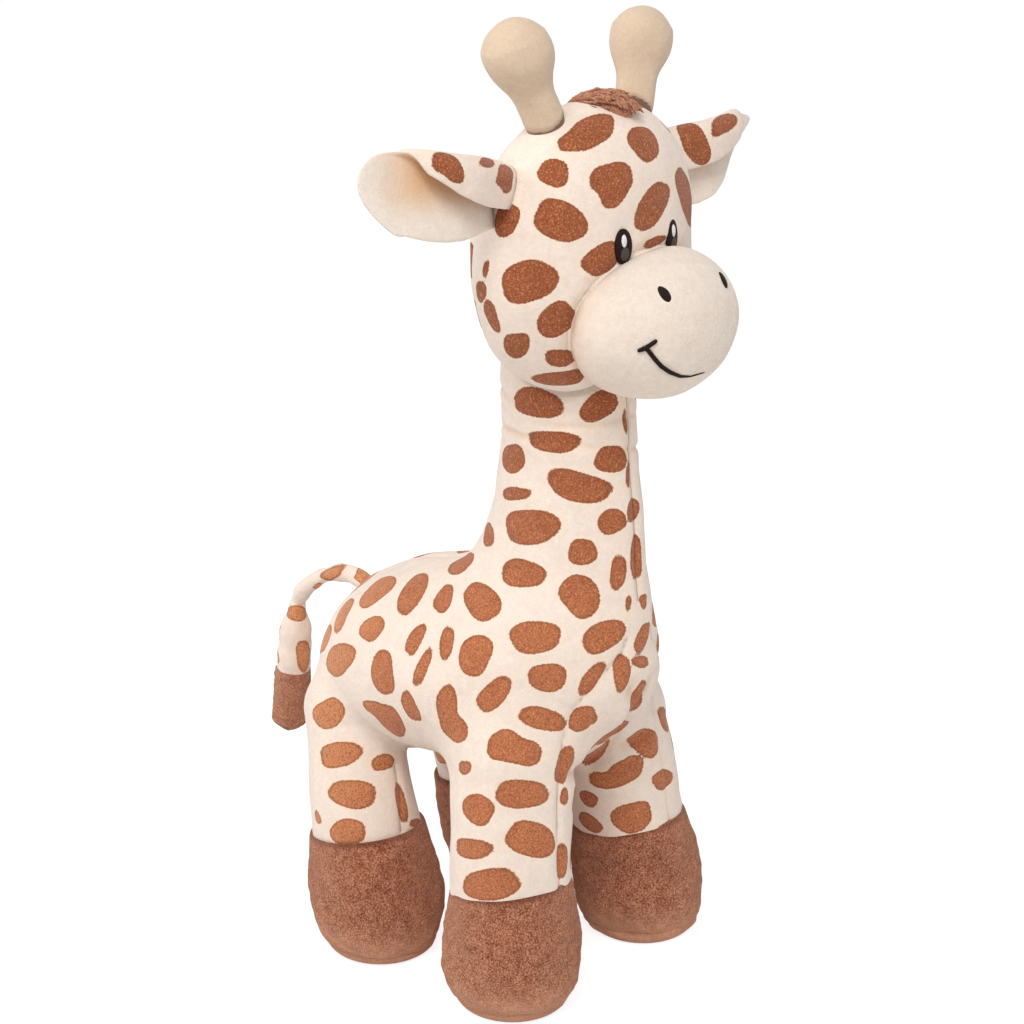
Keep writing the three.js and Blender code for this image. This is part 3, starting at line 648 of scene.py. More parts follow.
def make_print(forms, grids, ears):
    """The whole print: the spots that the photograph shows, then their mirror images and seeded
    ones of the same sizes on the sides that it doesn't."""
    made = Print()
    skin = Skin(grids)
    trunk_names = [name for name in grids if name not in ("head", "tail_arch", "tail_drop")]
    made.add_seen(skin, HEAD_SPOTS, ["head"])
    made.add_seen(skin, TRUNK_SPOTS, trunk_names)
    shown = len(made.middles)
    nearest, row, column = skin.depth_map()
    seen = (skin.facing > 0.12) & (skin.depth < nearest[row, column] + 7)
    shown_points = skin.points[seen][::7]
    for k in range(shown):
        flipped = made.middles[k] * [-1, 1, 1]
        if np.min(np.linalg.norm(shown_points - flipped, axis=-1)) < 3:
            continue
        if made.room(flipped, made.widths[k].mean(), 1.2):
            group = shown + made.groups[k]
            made.add(flipped, made.outward[k] * [-1, 1, 1], made.rows[k] * [-1, 1, 1], group)
    draw = np.random.default_rng(7)
    hidden = np.nonzero(~seen & ~np.isin(skin.names, ["tail_arch", "tail_drop"]))[0]
    deep = np.where(skin.names == "head", 1.0, forms.trunk(skin.points))
    hidden = hidden[deep[hidden] > -0.3]
    for k in draw.choice(hidden, 9000, replace=False):
        long = draw.uniform(5.5, 9.5)
        short = long * draw.uniform(0.6, 0.95)
        place = skin.points[k]
        clear = np.min(np.linalg.norm(shown_points - place, axis=-1)) > 1.5 + 0.5 * long
        if clear and made.room(place, (long + short) / 2, draw.uniform(2.2, 3.4)):
            made.add_round(place, skin.normals[k], long, short, draw.uniform(0, np.pi), 1000 + k)
    tail = Print()
    tail_skin = Skin({name: grids[name] for name in ("tail_arch", "tail_drop")})
    tail.add_seen(tail_skin, TAIL_SPOTS)
    for k in draw.choice(len(tail_skin.points), 1500, replace=False):
        if tail_skin.facing[k] < -0.1 and tail.room(tail_skin.points[k], 3.6, 2.0):
            tail.add_round(tail_skin.points[k], tail_skin.normals[k], 4.5, 3.2, draw.uniform(0, 3))
    ear_prints = {}
    for name, grid in ears.items():
        ear_prints[name] = Print()
        ear_skin = Skin({name: grid})
        ear_prints[name].add_seen(ear_skin, EAR_SPOTS[name])
        for k in draw.choice(len(ear_skin.points), 900, replace=False):
            tip = abs(ear_skin.points[k][0]) > forms.head_half[0] + 44
            if tip or ear_skin.facing[k] > -0.15:
                continue
            if ear_prints[name].room(ear_skin.points[k], 6, 2.6):
                long = draw.uniform(5, 8)
                ear_prints[name].add_round(
                    ear_skin.points[k], ear_skin.normals[k], long, 0.7 * long, draw.uniform(0, 3)
                )
    return made, tail, ear_prints


# Seams

# Lines of seams and folds that the photograph shows, in pixels across and down
SEAMS = {
    "gusset": [(628, 640), (622, 652), (607, 669), (581, 701), (568, 721), (564, 746), (561, 775),
               (560, 800), (559, 830), (559, 860), (560, 886)],
    "hind_panel": [(396, 765), (399, 790), (401, 812), (402, 830)],
}
FOLDS = {
    "chest_fold": [(650, 682), (640, 702), (630, 718), (610, 748), (592, 764), (572, 775)],
}


# How far the cloth swells beside a seam
SEAM_PUFF = 0.22


def path_distance(points, path):
    """Distance of each point to a line of straight stretches."""
    best = np.full(points.shape[:-1], np.inf)
    for a, b in zip(path[:-1], path[1:]):
        stretch = b - a
        share = np.clip((points - a) @ stretch / (stretch @ stretch), 0, 1)
        gap = points - a - share[..., None] * stretch
        best = np.minimum(best, np.linalg.norm(gap, axis=-1))
    return best


def traced(skin, pixels):
    """The points of the skin under a line of pixels."""
    picks = [skin.pick(x, y) for x, y in pixels]
    return np.array([skin.points[k] for k in picks if k is not None])


class Seams:
    """Seam lines and soft folds of the trunk and legs. Those that the photograph shows come
    from it, and their mirror images serve the other side."""

    def __init__(self, forms, grids):
        skin = Skin({name: g for name, g in grids.items() if name != "head"})
        self.lines, self.folds = [], []
        for pixels in SEAMS.values():
            path = traced(skin, pixels)
            self.lines += [path, path * [-1, 1, 1]]
        for pixels in FOLDS.values():
            path = traced(skin, pixels)
            self.folds += [path, path * [-1, 1, 1]]
        self.forms = forms

    def centre(self, points):
        """Distance to the seam down the middle of the neck's front and along the back. Low on the
        front and under the body there is no seam, so the distance is large."""
        x, y, z = np.moveaxis(points, -1, 0)
        low_front = (y < 0) & (z < 148)
        under = z < self.forms.size["body_height"] - 12
        return np.abs(x) + 30.0 * (low_front | under)

    def lines_at(self, points):
        return np.minimum.reduce([path_distance(points, p) for p in self.lines] + [self.centre(points)])

    def folds_at(self, points):
        return np.minimum.reduce([path_distance(points, p) for p in self.folds])


def sewn(points, normals, line, fold):
    """Skin pulled in along seams and folds, swelling a little beside them, and unevenly soft."""
    pull = 1.0 * np.exp(-((line / 1.5) ** 2)) - SEAM_PUFF * np.exp(-(((line - 6) / 4) ** 2))
    crease = 1.6 * np.exp(-((fold / 2.6) ** 2)) - 0.7 * np.exp(-(((fold - 7) / 4) ** 2))
    return points + normals * (softness(points, 0.55) - pull - crease)[..., None]


# Meshes


def place(points):
    """Millimetres from the middle of the feet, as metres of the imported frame."""
    return (points + [0, FORWARD, 0]) * MM


def make_mesh(name, points, faces, values=None):
    """An object from vertices in millimetres and lists of faces, turned to face outwards."""
    points = place(np.asarray(points, float))
    corners = np.concatenate([f.ravel() for f in faces])
    counts = np.concatenate([np.full(len(f), f.shape[1]) for f in faces])
    volume = sum(
        np.einsum("ij,ij->", points[f[:, 0]], np.cross(points[f[:, k]], points[f[:, k + 1]]))
        for f in faces
        for k in range(1, f.shape[1] - 1)
    )
    if volume < 0:
        corners = np.concatenate([f[:, ::-1].ravel() for f in faces])
    mesh = bpy.data.meshes.new(name)
    mesh.vertices.add(len(points))
    mesh.vertices.foreach_set("co", points.ravel())
    mesh.loops.add(len(corners))
    mesh.loops.foreach_set("vertex_index", corners.astype(np.int32))
    mesh.polygons.add(len(counts))
    starts = np.concatenate([[0], np.cumsum(counts)[:-1]])
    mesh.polygons.foreach_set("loop_start", starts.astype(np.int32))
    mesh.polygons.foreach_set("use_smooth", np.ones(len(counts), bool))
    mesh.update(calc_edges=True)
    mesh.validate()
    for key, value in (values or {}).items():
        attribute = mesh.attributes.new(key, "FLOAT", "POINT")
        attribute.data.foreach_set("value", np.asarray(value, np.float32).ravel())
    made = bpy.data.objects.new(name, mesh)
    bpy.context.scene.collection.objects.link(made)
    return made


def tube_faces(rows, columns, start=0):
    """Squares of a round grid, and fans to the two poles that follow its points."""
    index = start + np.arange(rows * columns).reshape(rows, columns)
    after = np.roll(index, -1, 1)
    squares = np.stack([index[:-1], after[:-1], after[1:], index[1:]], -1).reshape(-1, 4)
    first, last = start + rows * columns, start + rows * columns + 1
    fans = np.concatenate([
        np.stack([after[0], index[0], np.full(columns, first)], -1),
        np.stack([index[-1], after[-1], np.full(columns, last)], -1),
    ])
    return squares, fans


def with_poles(grid):
    """The grid's values with the mean of its first and of its last ring at the end."""
    flat = grid.reshape(-1, *grid.shape[2:])
    return np.concatenate([flat, grid[:1].mean(1), grid[-1:].mean(1)])


def tube_mesh(name, grid, values=None):
    """A closed object from a round grid, with values by vertex."""
    kept = {key: with_poles(value) for key, value in (values or {}).items()}
    return make_mesh(name, with_poles(grid), tube_faces(*grid.shape[:2]), kept)


def shell_faces(rows, columns):
    """Faces of a closed sheet: a front grid, a back grid after it, and the rim between them."""
    front = np.arange(rows * columns).reshape(rows, columns)
    back = front + rows * columns
    one = np.stack([front[:-1, :-1], front[:-1, 1:], front[1:, 1:], front[1:, :-1]], -1)
    two = np.stack([back[:-1, :-1], back[1:, :-1], back[1:, 1:], back[:-1, 1:]], -1)
    loop = np.concatenate([front[0, :-1], front[:-1, -1], front[-1, :0:-1], front[:0:-1, 0]])
    after = np.roll(loop, -1)
    gap = rows * columns
    rim = np.stack([after, loop, loop + gap, after + gap], -1)
    return (np.concatenate([one.reshape(-1, 4), two.reshape(-1, 4), rim]),)


def several(parts):
    """Points, faces and values of many grids as one list each."""
    points, faces, start = [], [], 0
    for grid in parts:
        points.append(with_poles(grid))
        faces += tube_faces(*grid.shape[:2], start)
        start += len(points[-1])
    return np.concatenate(points), [
        np.concatenate([f for f in faces if f.shape[1] == 4]),
        np.concatenate([f for f in faces if f.shape[1] == 3]),
    ]


def dress(made, material, body, nodes=()):
    """Gives a piece its material, its body and the nodes that it stands for."""
    made.data.materials.append(material)
    if body is not None:
        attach(made, body)
    if nodes:
        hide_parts(*nodes)
    return made


def at(x, y, z):
    """A point in millimetres from the middle of the feet, in the frame's metres."""
    return tuple(place(np.array([x, y, z], float)))


# Materials


class Value:
    """A socket that takes part in sums: each operator adds a Math node."""

    def __init__(self, tree, socket):
        self.tree, self.socket = tree, socket

    def math(self, operation, one, two=None):
        node = self.tree.nodes.new("ShaderNodeMath")
        node.operation = operation
        for place_in, item in zip(node.inputs, (one, two)):
            if isinstance(item, Value):
                self.tree.links.new(item.socket, place_in)
            elif item is not None:
                place_in.default_value = item
        return Value(self.tree, node.outputs[0])

    def __add__(self, other):
        return self.math("ADD", self, other)

    def __sub__(self, other):
        return self.math("SUBTRACT", self, other)

    def __mul__(self, other):
        return self.math("MULTIPLY", self, other)

    def __truediv__(self, other):
        return self.math("DIVIDE", self, other)

    def __radd__(self, other):
        return self.math("ADD", other, self)

    def __rsub__(self, other):
        return self.math("SUBTRACT", other, self)

    def __rmul__(self, other):
        return self.math("MULTIPLY", other, self)

    def __rtruediv__(self, other):
        return self.math("DIVIDE", other, self)

    def clip(self):
        held = self.math("ADD", self, 0.0)
        held.socket.node.use_clamp = True
        return held

    def between(self, low, high):
        """0 at low, 1 at high, held there beyond."""
        return ((self - low) / (high - low)).clip()


class Finish:
    """A material being made round one Principled shader."""

    def __init__(self, name, roughness=0.9, uniform=None):
        self.material = bpy.data.materials.new(name)
        self.material.use_nodes = True
        self.tree = self.material.node_tree
        self.shader = self.tree.nodes["Principled BSDF"]
        self.shader.inputs["Roughness"].default_value = roughness
        for key, value in (uniform or {}).items():
            self.shader.inputs[key].default_value = value

    def node(self, kind, settings=None, output=0, **inputs):
        """Any node: its type, its settings, and the values or links of its sockets."""
        made = self.tree.nodes.new("ShaderNode" + kind)
        for key, value in (settings or {}).items():
            setattr(made, key, value)
        for key, value in inputs.items():
            name = key.replace("_", " ")
            socket = next(s for s in made.inputs if name == s.name or key == s.identifier)
            if isinstance(value, Value):
                self.tree.links.new(value.socket, socket)
            else:
                socket.default_value = value
        return Value(self.tree, made.outputs[output])

    def place(self):
        return self.node("TexCoord", output=3)

    def attribute(self, name):
        return self.node("Attribute", {"attribute_name": name}, output=2)

    def noise(self, millimetres, detail=2.0, roughness=0.5, where=None):
        """Noise about 0.5 whose lumps are that many millimetres apart."""
        return self.node(
            "TexNoise", Vector=where or self.place(), Scale=1 / (millimetres * MM), Detail=detail,
            Roughness=roughness
        )

    def mix(self, share, one, two):
        """The colour one where share is 0 and two where it is 1."""
        one, two = [c if isinstance(c, Value) else (*c, 1.0) for c in (one, two)]
        return self.node(
            "Mix", {"data_type": "RGBA"}, output=2, Factor_Float=share, A_Color=one, B_Color=two
        )

    def shade(self, colour, share):
        """A colour multiplied by a varying number."""
        grey = self.node("CombineColor", Red=share, Green=share, Blue=share)
        return self.node(
            "Mix", {"data_type": "RGBA", "blend_type": "MULTIPLY"}, output=2, Factor_Float=1.0,
            A_Color=colour, B_Color=grey
        )

    def bump(self, height, distance_mm, strength=1.0):
        bumped = self.node("Bump", Strength=strength, Distance=distance_mm * MM, Height=height)
        self.tree.links.new(bumped.socket, self.shader.inputs["Normal"])

    def colour(self, value):
        self.tree.links.new(value.socket, self.shader.inputs["Base Color"])

    def rough(self, value):
        self.tree.links.new(value.socket, self.shader.inputs["Roughness"])


SHEEN = {"Sheen Weight": 0.22, "Sheen Roughness": 0.45, "Specular IOR Level": 0.15}


def pile_height(finish, pile_mm):
    """Short hairs: fine noise on slow ripples of brushed cloth."""
    fine = finish.noise(0.7, 3.0, 0.7)
    slow = finish.noise(3.0, 3.0, 0.6)
    return fine * pile_mm + slow * (1.1 * pile_mm)


def velour(name, ground, printed=False, warm_shade=False):
    """Short pile velour. Printed, its spots come from the vertices' spot value, with ragged
    edges and mixed light and dark hairs. Shade is painted in as well: warm in hollows and
    creases, dark along seams and where parts meet, and over the spots of the neck and head.
    Light is painted on the lower spots of the rear body."""
    colour, size = colours(), sizes()
    finish = Finish(name, 0.95, SHEEN)
    base = finish.mix(finish.noise(7.0, 3.0).between(0.3, 0.75), colour[ground],
                      tuple(0.955 * c for c in colour[ground]))
    grain = finish.noise(0.42, 2.0, 0.6).between(0.32, 0.68)
    cloud = finish.noise(1.9, 4.0, 0.7).between(0.34, 0.66)
    base = finish.shade(base, 0.89 + grain * 0.09 + cloud * 0.08)
    base = finish.mix(finish.noise(4.6, 3.0, 0.6).between(0.45, 0.75) * 0.14, base, colour["edge"])
    # Painted warm shade in hollows: under each ear's fold and low on the muzzle beside the head.
    if warm_shade:
        base = finish.mix(finish.attribute("warm_shade") * 0.9, base, colour["warm_shade"])
    if printed:
        # Painted warm shade in the neck's wrinkles and the chest's fold.
        base = finish.mix(finish.attribute("crease").clip() * 0.5, base, colour["warm_shade"])
        hairs = finish.noise(0.62, 2.0, 0.75)
        height = finish.node("SeparateXYZ", output=2, Vector=finish.place())
        back = finish.node("SeparateXYZ", output=1, Vector=finish.place())
        # Painted shade: spots turn darker from 130 to 210 mm up, over the neck and head. Painted light: the
        # rear body's spots below 130 to 190 mm turn paler.
        print_light_and_shade = finish.mix(height.between(0.13, 0.21), colour["spot"], colour["spot_high"])
        lit_rump = back.between(0.0, 0.05) * height.between(0.19, 0.13)
        print_light_and_shade = finish.mix(lit_rump * 0.8, print_light_and_shade, colour["spot_light"])
        brown = finish.mix(hairs.between(0.52, 0.7) * 0.75, print_light_and_shade, colour["spot_light"])
        brown = finish.mix(hairs.between(0.47, 0.35) * 0.8, brown, colour["spot_dark"])
        brown = finish.shade(brown, 0.86 + finish.noise(5.0, 2.0) * 0.3)
        edge = finish.attribute("spot") + (finish.noise(0.8, 2.0, 0.6) - 0.5) * 0.8
        halo = edge.between(-1.1, -0.35) * (1.0 - edge.between(-0.35, 0.0))
        base = finish.mix(halo * 0.5, base, colour["halo"])
        base = finish.mix(edge.between(-0.12, 0.18), base, brown)
        rim = edge.between(-0.05, 0.12) * (1.0 - edge.between(0.25, 0.85))
        base = finish.mix(rim * 0.5, base, colour["spot_dark"])
    # Painted shade: dark lines along seams and where the neck, muzzle, horns and ears meet the head, from the
    # vertices' seam value.
    seam = finish.attribute("seam")
    dark = (1.0 - (seam / 0.55).clip()) * 0.4 + (1.0 - (seam / 0.12).clip()) * 0.42
    base = finish.mix(dark, base, tuple(0.5 * c for c in colour["spot_dark"]))
    finish.colour(base)
    groove = (seam / 1.1).clip()
    finish.bump(pile_height(finish, size["pile"]) + groove * 0.9, 0.55)
    return finish.material


def deep_pile(name):
    """Longer brushed pile: brown with dark hollows between hairs and light tips, paler where the
    vertices' light value says, which is painted light low on the boots. Painted shade darkens
    everything above 8 to 30 mm up."""
    colour, size = colours(), sizes()
    sheen = {"Sheen Weight": 1.0, "Sheen Roughness": 0.3, "Sheen Tint": (1.0, 0.56, 0.38, 1.0)}
    finish = Finish(name, 0.97, {**SHEEN, **sheen})
    fine = finish.noise(0.62, 2.0, 0.8)
    tufts = finish.noise(3.4, 3.0, 0.65)
    slow = finish.noise(14.0, 3.0)
    height = fine * 0.78 + tufts * 0.22
    # Painted shade: darker above 8 to 30 mm up, on the boots' upper parts.
    dim = finish.node("SeparateXYZ", output=2, Vector=finish.place()).between(0.008, 0.03)
    base = finish.mix(height.between(0.5, 0.38) * 0.9, colour["boot"], colour["boot_dark"])
    base = finish.mix(height.between(0.51, 0.6) * (0.95 - dim * 0.25), base, colour["boot_light"])
    # Painted light: the light value makes the boots paler low down. It also makes the forelock paler at its
    # front and the tail's end paler all over.
    base = finish.mix(finish.attribute("light") * 0.75, base, colour["boot_light"])
    base = finish.shade(base, 0.86 + slow * 0.48 - dim * 0.14)
    seam = finish.attribute("seam")
    base = finish.mix((1.0 - (seam / 0.9).clip()) * 0.75, base, colour["boot_dark"])
    finish.colour(base)
    finish.bump(height * size["boot_pile"] + (seam / 1.4).clip() * 0.5, 1.5)
    return finish.material


def satin(name, key):
    """Satin stitches: fine threads side by side along the vertices' thread value."""
    finish = Finish(name, 0.6, {"Specular IOR Level": 0.15})
    colour = colours()[key]
    along = finish.attribute("thread")
    wave = finish.node("Math", {"operation": "SINE"}, **{"Value": along * (2 * math.pi / 0.38)})
    ridge = wave * 0.5 + 0.5
    mottle = finish.noise(1.2, 2.0)
    base = finish.mix(ridge, tuple(0.6 * c for c in colour), tuple(min(1.15 * c, 1) for c in colour))
    finish.colour(finish.shade(base, 0.85 + mottle * 0.3))
    finish.bump(ridge * 0.16 + mottle * 0.05, 0.2)
    return finish.material


def cloth(kind):
    """The named material, made once."""
    found = bpy.data.materials.get(kind)
    if found is not None:
        return found
    makers = {
        "printed_velour": lambda: velour(kind, "cream", True),
        "ear_velour": lambda: velour(kind, "plain", warm_shade=True),
        "horn_velour": lambda: velour(kind, "horn"),
        "deep_velour": lambda: deep_pile(kind),
        "dark_satin": lambda: satin(kind, "thread"),
        "grey_satin": lambda: satin(kind, "iris"),
        "white_satin": lambda: satin(kind, "glint"),
    }
    return makers[kind]()


# Ears and tail, whose grids the print needs


# Outlines of the ears in millimetres: along the ear, then the top and bottom edge above its
# middle line, and how far the top edge folds down over the front. The left ear hangs lower.
EAR_STOPS = np.array([0, 8, 16, 24, 32, 40, 48, 54, 59, 63, 67.0])
EAR_EDGES = {
    -1: (
        np.array([11.2, 12.2, 12.9, 13.1, 13.2, 13.6, 13.9, 13.8, 13.6, 13.3, 12.8]),
        np.array([-7.4, -9.0, -11.0, -12.5, -13.4, -13.5, -13.2, -12.5, -11.0, -9.2, -7.6]),
    ),
    1: (
        np.array([12.5, 12.2, 11.6, 10.7, 9.9, 9.4, 8.6, 7.2, 5.6, 4.4, 3.4]),
        np.array([-12.0, -15.4, -16.8, -16.0, -12.8, -6.4, -1.8, -0.8, -1.0, -1.0, -1.0]),
    ),
}
EAR_FOLD = np.array([13.0, 14.0, 14.2, 13.2, 11.2, 8.2, 4.2, 2.0, 1.0, 0.5, 0.0])
EAR_PAD = 1.9
EAR_RISE = 20.5
LEFT_EAR_SHORTER = 4.4


def ear_frame(forms, side):
    """The ear's seam on the head: a place, and the ways along the ear, up it and forward."""
    tilt, sweep = math.radians(10), math.radians(4)
    share, power = EAR_RISE / forms.head_half[2], forms.head_bluntness
    across = forms.head_half[0] * (1 - share**power) ** (1 / power)
    root = forms.head_middle + [side * (across - 1.5), -0.5, EAR_RISE]
    out = unit(np.array([side * math.cos(tilt), math.sin(sweep), math.sin(tilt)]))
    ahead = np.cross(out, [-side * math.sin(tilt), 0, math.cos(tilt)])
    ahead *= -np.sign(ahead[1]) / np.linalg.norm(ahead)
    return root, out, np.cross(ahead, out) * side, ahead


def ear_sheet(forms, side, layer, rows=76, columns=96):
    """A leaf whose top edge rolls forward and down. Across the leaf, the way that it runs turns
    from up to forward and down through one smooth bend, and its places are the running sum of
    those ways. A layer of -1 is the back cloth's outside, 1 the lining's, and 0 lies between."""
    root, out, up, ahead = ear_frame(forms, side)
    length = EAR_STOPS[-1] - (LEFT_EAR_SHORTER if side > 0 else 0.0)
    along = length * np.sin(np.linspace(0, 1, rows) * np.pi / 2)
    blunt = np.sqrt(np.clip(1 - (along / length) ** 10, 0, 1))
    top, bottom = (smooth_line(EAR_STOPS, edge, along) for edge in EAR_EDGES[side])
    middle = np.interp(along, [0, length], [0, (EAR_EDGES[side][0][-1] + EAR_EDGES[side][1][-1]) / 2])
    top, bottom = middle + (top - middle) * blunt, middle + (bottom - middle) * blunt
    fold = smooth_line(EAR_STOPS, EAR_FOLD, along) * blunt
    bend = 0.6 + 3.6 * step(fold, 0, 10)
    turn = np.radians(176) * step(fold, 0.2, 6.5)
    rise = np.maximum(top - bottom - bend * np.sin(np.minimum(turn, np.pi / 2)), 0.3)
    hang = np.maximum(fold - bend * 1.2, 0)
    total = rise + bend * turn + hang
    share = np.linspace(0, 1, columns)[None]
    travel = share * total[:, None]
    bent = (travel - rise[:, None] + 0.35 * bend[:, None]) / (bend * turn + 0.7 * bend + 1e-3)[:, None]
    low = 1 - np.clip(travel / (rise[:, None] + 1e-3), 0, 1)
    angle = turn[:, None] * step(bent, 0, 1) - 0.5 * low * blunt[:, None]
    width = (total / (columns - 1))[:, None]
    lift = np.cumsum(np.cos(angle) * width, axis=1) - np.cos(angle[:, :1]) * width
    reach = np.cumsum(np.sin(angle) * width, axis=1)
    lift += (top - lift.max(axis=1))[:, None]
    reach -= reach[:, columns // 3][:, None]
    body = np.abs(np.sin(np.pi * share)) ** 0.55
    ends = np.sqrt(np.clip(1 - (along / length) ** 6, 0, 1)) * np.minimum(1, 0.55 + along / 12)
    ends = ends[:, None]
    pad = layer * (0.12 + EAR_PAD * body * ends)
    lift = lift - np.sin(angle) * pad - 0.9 * ends
    reach = reach + np.cos(angle) * pad
    inward = np.clip(1 - along / 14, 0, 1)[:, None] * (1.0 + 0.55 * np.maximum(reach, 0))
    reach += 3.0 * np.sin(np.pi * along / length / 1.2)[:, None]
    reach -= 7.0 * (np.clip(1 - along / 26, 0, 1) ** 1.4)[:, None]
    outward = along[:, None] - inward
    return root + outward[..., None] * out + lift[..., None] * up + reach[..., None] * ahead


# Shares of the way from the tail's knee to its end where the spotted cloth ends and where the
# brown end starts, so that they overlap
TAIL_CLOTH_SHARE, TAIL_BROWN_SHARE = 0.53, 0.515


def tail_paths(forms):
    """The tail's arch and its hanging stretch as points of smooth curves with their radii."""
    t = np.linspace(0, 1, 90)[:, None]
    root, kink = forms.tail_root + [0, 2, 0], forms.tail_kink
    lift, turn = root + [0, 15, 6.5], kink + [0, -4.5, 10.5]
    arch = (
        (1 - t) ** 3 * root + 3 * (1 - t) ** 2 * t * lift + 3 * (1 - t) * t**2 * turn + t**3 * kink
    )
    share = t[:, 0]
    arch_radius = 3.2 + 0.25 * np.sin(9 * share) + 0.2 * np.sin(23 * share + 1)
    arch_radius = arch_radius * round_end(step(share, 0.94, 1.002))
    drop_share = np.sin(np.linspace(-0.06, 1, 80) * np.pi / 2)
    drop = kink + drop_share[:, None] * TAIL_CLOTH_SHARE * (forms.tail_end - kink)
    drop_radius = 3.3 + (forms.size["tail_radius"] - 2.5) * step(drop_share, 0.0, 0.45)
    drop_radius = drop_radius + 0.4 * step(drop_share, 0.5, 0.9) - 1.0 * step(drop_share, 0.97, 1)
    drop_radius = drop_radius * round_end(step(-drop_share, -0.06, 0.0945))
    return arch, arch_radius, drop, drop_radius


def path_tube(path, radius, columns, twist=0.0):
    """A round tube along a path in the middle plane, with a shallow groove that twists."""
    tangent = unit(np.gradient(path, axis=0))
    across = np.tile(X, (len(path), 1))
    up = np.cross(tangent, across)
    turn = circle(columns)[None]
    share = np.linspace(0, 1, len(path))[:, None]
    wobble = 1 + twist * np.cos(2 * turn + 14 * share)
    cos, sin = np.cos(turn)[..., None], np.sin(turn)[..., None]
    spread = (radius[:, None] * wobble)[..., None]
    return path[:, None] + spread * (cos * across[:, None] + sin * up[:, None])


class Toy:
    """Grids, seams and print of the whole toy, worked out once."""

    made = None

    def __init__(self):
        self.forms = Forms(sizes())
        forms = self.forms
        grids = {"trunk": trunk_grid(forms)}
        for name, leg in LEGS.items():
            grids[name] = leg_grid(forms, leg)
        head = egg_grid(forms.head_middle, forms.head_half, forms.head_bluntness, 2, 170, 250)
        grids["head"] = head - Y * forms.crown_lean(head)[..., None]
        arch, arch_radius, drop, drop_radius = tail_paths(forms)
        grids["tail_arch"] = path_tube(arch, arch_radius, 40, 0.07)
        grids["tail_drop"] = path_tube(drop, drop_radius, 44)
        self.grids = grids
        self.normals = {name: grid_normals(grid) for name, grid in grids.items()}
        self.ears = {name: ear_sheet(forms, side, -1) for name, side in SIDES.items()}
        self.seams = Seams(forms, grids)
        self.spots, self.tail_spots, self.ear_spots = make_print(forms, grids, self.ears)

    @classmethod
    def get(cls):
        if cls.made is None:
            cls.made = cls()
        return cls.made


# Operators


class PieceOperator(bpy.types.Operator):
    """Shared by the operators that make pieces."""

    bl_options = {"REGISTER", "UNDO"}

    def execute(self, context):
        self.make(Toy.get())
        return {"FINISHED"}


class GIRAFFE_OT_trunk(PieceOperator):
    """Body and neck as one sewn skin, with its seams, folds and print"""

    bl_idname = "giraffe.trunk"
    bl_label = "Body and neck"

    def make(self, toy):
        grid, normals = toy.grids["trunk"], toy.normals["trunk"]
        line, fold = toy.seams.lines_at(grid), toy.seams.folds_at(grid)
        wrinkles = neck_wrinkles(grid, toy.forms)
        points = sewn(grid, normals, line, fold) - normals * wrinkles[..., None]
        # Painted shade in a band where the neck meets the head.
        collar = 0.12 + 0.5 * np.maximum(np.abs(toy.forms.head(grid)) - 1.6, 0)
        # The crease value paints warm shade in the neck's wrinkles and the chest's fold.
        values = {"spot": toy.spots.depth(grid, normals),
                  "seam": np.minimum(np.minimum(line, collar), 9),
                  "crease": 0.8 * wrinkles + np.exp(-((fold / 1.3) ** 2))}
        made = tube_mesh("body_and_neck", points, values)
        nodes = ["body_skin", "body_stuffing", "neck_skin", "neck_stuffing"]
        dress(made, cloth("printed_velour"), None, nodes)
        at(0, 5, 128)
        at(0, -15, 180)
        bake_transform(made)


def neck_wrinkles(points, forms):
    """Shallow level creases across the neck just under the head."""
    height = forms.head_middle[2]
    total = np.zeros(points.shape[:-1])
    for drop, depth, lean in ((52.5, 1.1, 0.12), (57.5, 0.9, 0.02), (67, 1.0, -0.05), (71, 0.5, 0.1)):
        wave = 1.2 * np.sin(0.11 * points[..., 0] + drop) - 0.004 * (points[..., 0] + 6) ** 2
        line = points[..., 2] - (height - drop) - lean * points[..., 0] - wave
        fade = 0.55 + 0.45 * np.sin(0.09 * points[..., 0] + 0.07 * points[..., 1] + drop)
        total += depth * fade * np.exp(-((line / 1.1) ** 2))
    return total


class GIRAFFE_OT_legs(PieceOperator):
    """Four legs that swell into the body"""

    bl_idname = "giraffe.legs"
    bl_label = "Legs"

    def make(self, toy):
        forms = toy.forms
        for name, leg in LEGS.items():
            grid, normals = toy.grids[name], toy.normals[name]
            line, fold = toy.seams.lines_at(grid), toy.seams.folds_at(grid)
            points = sewn(grid, normals, line, fold)
            # The crease value paints warm shade in the chest's fold, and the seam value paints shade along
            # the seams.
            values = {"spot": toy.spots.depth(grid, normals), "seam": np.minimum(line, 9),
                      "crease": np.exp(-((fold / 1.3) ** 2))}
            made = tube_mesh(name + "_leg", points, values)
            nodes = [name + "_leg_skin", name + "_leg_stuffing"]
            dress(made, cloth("printed_velour"), None, nodes)
            x, y, z = forms.leg_middle(leg, np.array(forms.hip_height))
            start, end = at(x, y, z + 16), at(x, y, z - 22)
            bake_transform(made)


